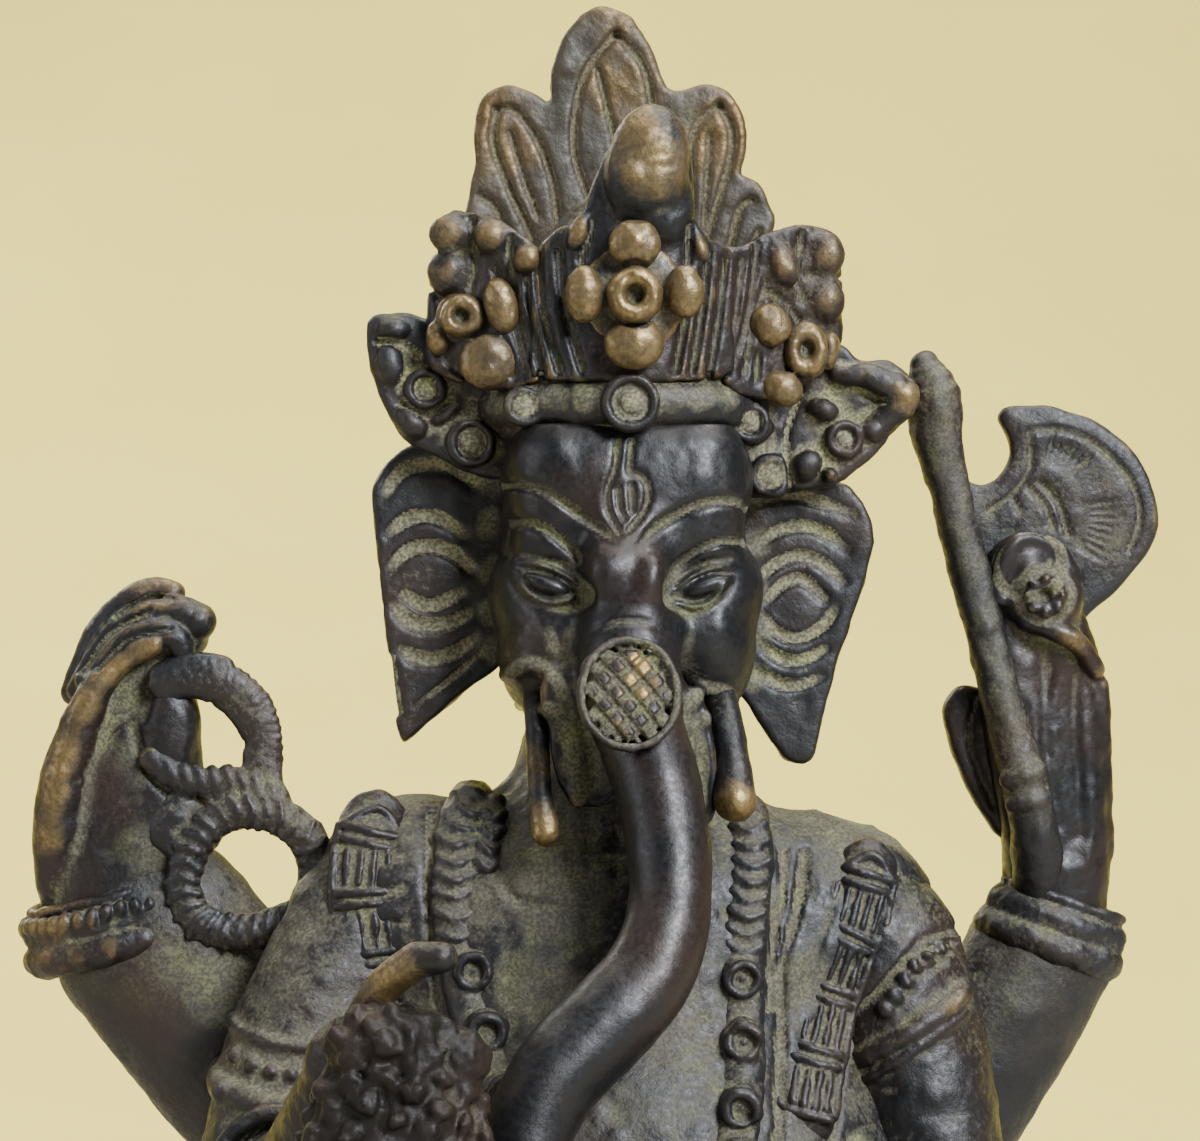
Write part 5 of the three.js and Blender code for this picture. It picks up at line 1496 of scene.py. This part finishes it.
def shoulder_scarves(under):
    """Two scarves woven of crossing strips, with a corded edge."""
    sides = {
        "left": ([(-24.4, 98.8), (-25, 96), (-25.2, 93), (-24.8, 88), (-23.8, 82), (-21.6, 74)], 3.3, 32),
        "right": (
            [(24, 94.6), (23.4, 92.6), (22.6, 90), (21.2, 87), (19.6, 82.6), (18, 77.4), (16.4, 71.4)],
            2.75, 33,
        ),
    }
    for side, (middle, half, seed) in sides.items():
        clay = Clay(f"shoulder_scarf_{side}", cell=0.23, margin=4)
        clay.add(
            limb(under.draped(middle, half + 0.15, 1.3, step=1.5), flat=0.42 * 2.75 / half), blend=0.3,
        )
        places = strung(middle, 1.15)
        x, z, turn = places[0]
        strips = [crescent(clay, x, z, turn, 0.9 * half, -0.7 * half, 0.5, -0.05)]
        for i, (x, z, turn) in enumerate(places):
            if i % 5 in (0, 1):
                strips.append(crescent(clay, x, z, turn, 0.8 * half, 0, 0.48, -0.05))
            elif i % 5 == 3:
                for step in (-0.6, -0.2, 0.2, 0.6):
                    px, pz = x - math.sin(turn) * step * half, z + math.cos(turn) * step * half
                    strips.append(crescent(clay, px, pz, turn + math.pi / 2, 1.5, 0, 0.38, -0.05))
        for shift in (-half, half):
            edge = [
                (x - math.sin(turn) * shift, z + math.cos(turn) * shift)
                for x, z, turn in strung(middle, 1.5)
            ]
            strips.append(limb(clay.draped(edge, 0.5, -0.2)))
        clay.add(*strips, blend=0.15)
        clay.noise(1.5, 0.08, seed)
        cast(clay, "dark")


# ---- The front arms and what they hold -----------------------------------------------------------
def front_upper_arm_left():
    """The upper front arm on the viewer's left with its studded armlet."""
    clay = Clay("front_upper_arm_left", cell=0.33)
    clay.add(limb(UPPER_ARMS["left"]))
    forms = [limb(clay.draped([(-40, 74.6), (-34, 72.8), (-28, 72.8), (-24, 74)], 1.3, 0.4))]
    forms.append(limb(clay.draped([(-39, 80), (-33.6, 78.4), (-28, 78.2), (-23, 79)], 0.6, 0.1)))
    studs = strung([(-38.6, 77.4), (-33, 75.8), (-25, 75.8)], 1.9)
    forms += [ball((x, clay.front(x, z) + 0.1, z), (0.9, 0.8, 0.9)) for x, z, _ in studs]
    clay.add(*forms, blend=0.3)
    clay.noise(2.6, 0.14, 35)
    cast(clay, "dusty")


def front_upper_arm_right():
    """The other upper front arm, with an armlet and a row of pearls."""
    clay = Clay("front_upper_arm_right", cell=0.3)
    clay.add(limb(UPPER_ARMS["right"]))
    roll = [(33.2, 82.6), (29.6, 80.4), (25.9, 78.1), (22, 76)]
    line = [(33, 80.6), (30.3, 79.2), (25.9, 76.3), (22, 73.6)]
    studs = [(35, 88.4), (28.2, 85.4), (24.7, 80.6)]
    forms = [limb(clay.draped(roll, 1.2, 0.4)), limb(clay.draped(line, 0.6, 0.1))]
    forms += [
        ball((x, clay.front(x, z) + 0.1, z), (0.8, 0.8, 1.1), lean=40)
        for x, z, _ in strung(studs, 1.7)
    ]
    clay.add(*forms, blend=0.3)
    for i in range(4):
        clay.press(
            [(34 - i, 88.4 - i), (28.4 - i, 87.4 - 1.3 * i, 0.8), (23.6 - i, 82 - i, 0.4)], 0.35, 0.35, 4,
        )
    clay.noise(2.4, 0.12, 36)
    rubs_and_highlights = [(32, 81.6, 2, 1), (26, 78, 2, 0.5), (32, 74, 3, 0.3)]
    cast(clay, "dark", rubs_and_highlights=rubs_and_highlights)


def front_forearm_left():
    """The front forearm and the hand that holds the sweets."""
    clay = Clay("front_forearm_left", cell=0.33, margin=4)
    arm = [
        (-33.5, -8, 64, 6), (-32.4, -17, 66, 5.4), (-29.6, -24.4, 70.6, 4.8), (-27.4, -28.6, 76, 4.2),
        (-25.8, -31, 81, 3.2),
    ]
    clay.add(limb(arm), blend=0.6)
    hand = [
        [
            (-25.4, -38, 80.6, 1.6), (-24.2, -40.8, 84.2, 1.55), (-22.2, -41.4, 87.2, 1.4),
            (-19.4, -41, 88.3, 1.2), (-17.4, -40, 88, 1.15),
        ],
        [
            (-25.6, -32.6, 83, 1.7), (-23, -34.8, 87.4, 1.6), (-20, -36.8, 89.8, 1.5),
            (-18, -37.6, 90.2, 1.35),
        ],
        [(-30.8, -36.6, 67.4, 1.6), (-29, -40.4, 68.6, 1.5), (-26.6, -41.6, 69.8, 1.3)],
    ]
    clay.add(ball((-26.6, -31, 80), (3.6, 3, 4)), blend=0.8)
    clay.add(*(limb(finger) for finger in hand), blend=0.4)
    for t in (0.2, 0.32):
        z, y = 64.6 + 8 * t, -12 - 14 * t
        ring = [
            (-33 + 6.1 * math.cos(a), y + 2 * math.sin(a), z + 6 * math.sin(a), 0.9)
            for a in turns(20)
        ]
        clay.add(limb(ring, closed=True), blend=0.4)
    clay.noise(2.2, 0.12, 37)
    cast(clay, "dark", rubs_and_highlights=[(-22, 87.4, 3, 1.6)])


def front_forearm_right():
    """The front forearm and the fist round the held tusk."""
    clay = Clay("front_forearm_right", cell=0.33, margin=4)
    clay.add(
        limb([(30.2, -6, 62, 6), (30.4, -15, 59.5, 5.2), (27.5, -23.5, 58.5, 4.2)]),
        ball((26.4, -26.6, 58.4), (4.2, 4.6, 5.2)), blend=1.2,
    )
    for i in range(4):
        z = 61.8 - 2.5 * i
        finger = [
            (30, -27, z, 1.5), (29.4, -31.4, z, 1.5), (26.4, -33.8, z - 0.2, 1.4),
            (23.4, -32.6, z - 0.3, 1.2),
        ]
        clay.add(limb(finger), blend=0.35)
    clay.add(limb([(22.8, -25, 60, 1.6), (22.4, -29.4, 63, 1.5), (24.2, -32.6, 63.6, 1.3)]), blend=0.4)
    for y in (-18.6, -16.2):
        ring = [(x, y, z, 0.9) for x, z in circle(30, 59.2, 5.3, 20)]
        clay.add(limb(ring, closed=True), blend=0.4)
    cast(clay.noise(2.4, 0.1, 38), "dark")


def sweets():
    """A heap of sweets: small uneven lumps along a golden spiral on two of its mounds."""
    clay = Clay("sweets", cell=0.3)
    clay.add(
        ball((-22, -36.2, 73.2), (8, 5.2, 10)), ball((-22.4, -36.4, 82.6), (5, 3.6, 3.4)),
        ball((-16.8, -36, 81), 3), blend=1,
    )
    random = np.random.default_rng(44)
    mounds = [((-22, -36.2, 73.2), (7.7, 5, 9.7), 110), ((-22.4, -36.4, 82.4), (4.8, 3.5, 3.2), 36)]
    for centre, radii, count in mounds:
        for i in range(count):
            up = 1 - 2 * (i + 0.5) / count
            turn, out = i * math.pi * (3 - math.sqrt(5)), math.sqrt(1 - up * up)
            away = (out * math.cos(turn), out * math.sin(turn), up)
            place = [c + r * a for c, r, a in zip(centre, radii, away)]
            clay.add(ball(place, random.uniform(0.8, 1.5, 3), lean=random.uniform(-90, 90)), blend=0.5)
    clay.noise(1.2, 0.24, 39)
    rubs_and_highlights = [(-30.6, 79, 2, 0.9), (-22, 80, 9, -0.7), (-22, 68, 9, -0.7)]
    cast(clay, "heap", rubs_and_highlights=rubs_and_highlights)


def held_tusk():
    """The broken-off tusk."""
    clay = Clay("held_tusk", cell=0.27)
    clay.add(limb([(26, -30.4, 52, 1.3), (25.4, -31.5, 60, 2.2), (24.4, -32.8, 68, 1.6)]))
    grooves(clay, [[(22.6, 66 - 1.1 * i), (27.6, 65.6 - 1.1 * i)] for i in range(3)], 0.3, 0.3)
    cast(clay.noise(1.6, 0.08, 40), "worn")


# ---- The pedestal --------------------------------------------------------------------------------
BASE_DEPTH, PETALS = 0.7, 14  # the plan's depth to its width; petals in a row
NECK_Z = 18.2  # the two lotus rows are meshed apart and meet at this height
PROFILE = [
    (0, 53.4), (2.6, 53.6), (3.6, 52), (5, 52.4), (8, 53), (12, 50.6), (16, 45.6), (18.5, 45), (22, 49),
    (27, 52.2), (31, 51.4), (33, 48.4), (34.4, 48.6), (36, 47.6),
]


def lotus():
    """The pedestal's outside: a turned profile on an elliptical plan with two rows of lotus petals."""
    heights, radii = np.array(PROFILE, float).T

    def distance(x, y, z):
        radius, turn = np.hypot(x, y / BASE_DEPTH), np.arctan2(y / BASE_DEPTH, x) * PETALS / (2 * np.pi)
        swell = np.zeros(np.broadcast_shapes(radius.shape, z.shape), np.float32)
        for foot, tip, shift in ((17.4, 4.4, 0), (19.2, 32.6, 0.5)):
            along = (z - foot) / (tip - foot)
            for layer, size in ((shift, 1), (shift + 0.5, 0.62)):
                across = np.abs((turn + layer) % 1 - 0.5) * 2
                edge = np.sqrt(np.clip(1 - np.clip(along, 0, 1) ** 3, 0, 1)) * size
                inside = (across < edge) & (along > 0) & (along < 1)
                share = np.where(inside, 1 - (across / np.maximum(edge, 0.05)) ** 2, 0)
                lift = 1.5 * np.sqrt(share) - 0.5 * np.exp(
                    -(((across - 0.62 * edge) / 0.09) ** 2)
                ) * inside
                lift += 0.5 * np.exp(-((across / 0.07) ** 2)) * inside
                swell = np.maximum(swell, lift * np.clip(np.minimum(along, 1 - along) * 9, 0, 1))
        outer = (radius - np.interp(z, heights, radii) - swell) * 0.82
        return np.maximum(outer, np.abs(z - 18) - 18)

    return np.array([-57, -41, 0]), np.array([57, 41, 36]), distance


def cavity():
    """The hollow of the pedestal, open below, with the rebate for the sealing plate."""
    heights, radii = (0, 2, 2.4, 5, 15, 20, 27, 31), (51.6, 51.6, 45.5, 45.5, 40, 40, 45, 44)

    def distance(x, y, z):
        return np.maximum(
            (np.hypot(x, y / BASE_DEPTH) - np.interp(z, heights, radii)) * 0.8, z - heights[-1],
        )

    return np.array([-50, -36, -2]), np.array([50, 36, 31]), distance


def pedestal():
    """The lotus base with its rows of beads, hollowed from below and meshed in two."""
    clay = Clay("pedestal", cell=0.52, margin=2)
    clay.add(lotus(), blend=0.2)
    for z, out, radius, count in ((34.8, 48.9, 1.15, 96), (1.6, 53.6, 0.9, 120), (18, 45.6, 0.9, 100)):
        beads = [(out * math.cos(t), out * BASE_DEPTH * math.sin(t), z) for t in turns(count)]
        clay.add(*(ball(bead, radius) for bead in beads), blend=0.25)
    clay.cut(cavity(), blend=0.2)
    clay.noise(3.5, 0.1, 41)
    for part, side in (("lower", 1), ("upper", -1)):
        cast(clay, "dark", name=f"pedestal_lotus_{part}", where=lambda x, y, z: side * (z - NECK_Z))


def recolour():
    """The sealing plate and the pins stay as they come, in copper."""
    for name in ("base_plate", *(f"plate_pin_{i}" for i in range(1, 5)), "lug_pin_left", "lug_pin_right"):
        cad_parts[name].material_slots[0].material = METALS["copper"]


# ---- The studio ----------------------------------------------------------------------------------
LENS, CAMERA_AZIMUTH, CAMERA_DISTANCE, CAMERA_TARGET = 102, -3, 0.34, (-0.002, 0.006, 0.1238)
SWEEP_HALF, SWEEP_FRONT, SWEEP_BEND, WALL_Y, WALL_TOP = 2.4, -2.4, 0.65, 0.95, 1.8


def backdrop():
    """A pale sweep: floor, a quarter turn and a wall, far enough back for a camera behind the object."""
    bend = [
        (WALL_Y - SWEEP_BEND + SWEEP_BEND * math.sin(a), SWEEP_BEND - SWEEP_BEND * math.cos(a))
        for a in np.arange(17) * math.pi / 32
    ]
    profile = [(SWEEP_FRONT, 0), *bend, (WALL_Y, WALL_TOP)]
    mesh = bpy.data.meshes.new("studio_sweep")
    rows = [(x, y, z - 0.0004) for y, z in profile for x in (-SWEEP_HALF, SWEEP_HALF)]
    faces = [(2 * i, 2 * i + 1, 2 * i + 3, 2 * i + 2) for i in range(len(profile) - 1)]
    mesh.from_pydata(rows, [], faces)
    mesh.polygons.foreach_set("use_smooth", [True] * len(faces))
    sweep = bpy.data.objects.new("studio_sweep", mesh)
    bpy.context.collection.objects.link(sweep)
    n = Nodes("pale_plaster")
    plaster = n.mix(n.fade(n.grain(60, 2), 0.3, 0.7), (0.76, 0.64, 0.14), (0.79, 0.67, 0.155))
    back = n.add("ShaderNodeSeparateXYZ", "Y", {"Vector": n.place})
    tone = n.mix(n.fade(back, 0.06, 0.38), (0.38, 0.36, 0.3), plaster)
    mesh.materials.append(n.finish(Base_Color=tone, Roughness=0.85))


def lamp(name, place, target, size, watts, tint):
    """A rectangular area lamp turned to a target."""
    data = bpy.data.lights.new(name, "AREA")
    data.shape, data.size, data.size_y = "RECTANGLE", *size
    data.energy, data.color = watts, tint
    light = bpy.data.objects.new(name, data)
    light.location = place
    light.rotation_euler = (Vector(target) - Vector(place)).to_track_quat("-Z", "Y").to_euler()
    bpy.context.collection.objects.link(light)


def studio():
    """Backdrop, lamps, dim room light and the camera at the photograph's viewpoint."""
    backdrop()
    lamp("window", (0.42, -0.6, 0.56), (0, 0, 0.12), (0.3, 0.34), 20.5, (0.9, 0.94, 1.0))
    lamp("left_fill", (-0.66, -0.2, 0.3), (0, 0, 0.12), (0.4, 0.4), 1.8, (0.96, 0.97, 1.0))
    lamp("top", (0.12, -0.05, 0.62), (0, 0, 0.12), (0.4, 0.3), 3.4, (1, 0.98, 0.94))
    lamp("wall_wash", (0, 0.2, 1.1), (0, 0.75, 0.1), (1.2, 0.3), 13.6, (1, 0.96, 0.84))
    lamp("back_fill", (-0.4, 0.6, 0.5), (0, 0, 0.1), (0.4, 0.4), 3, (1, 0.98, 0.94))
    world = bpy.data.worlds.new("room")
    world.use_nodes = True
    world.node_tree.nodes["Background"].inputs["Color"].default_value = (0.9, 0.93, 1.0, 1)
    world.node_tree.nodes["Background"].inputs["Strength"].default_value = 0.12
    bpy.context.scene.world = world
    data = bpy.data.cameras.new("camera")
    data.lens, data.sensor_width, data.sensor_fit = LENS, 36, "AUTO"
    data.clip_start = 0.01
    camera = bpy.data.objects.new("camera", data)
    turn, target = math.radians(CAMERA_AZIMUTH), Vector(CAMERA_TARGET)
    camera.location = target + CAMERA_DISTANCE * Vector((math.sin(turn), -math.cos(turn), 0))
    camera.rotation_euler = (target - camera.location).to_track_quat("-Z", "Y").to_euler()
    bpy.context.collection.objects.link(camera)
    bpy.context.scene.camera = camera


for make in (
    head, trunk, medallion, tusks, ear_left, ear_right, crown, rear_forearm_left, rear_forearm_right,
    rear_upper_arms, armlets, axe_haft, axe_blade, scarf_end, noose, dress, figure, front_upper_arm_left,
    front_upper_arm_right, front_forearm_left, front_forearm_right, sweets, held_tusk, pedestal, recolour,
    studio,
):
    make()
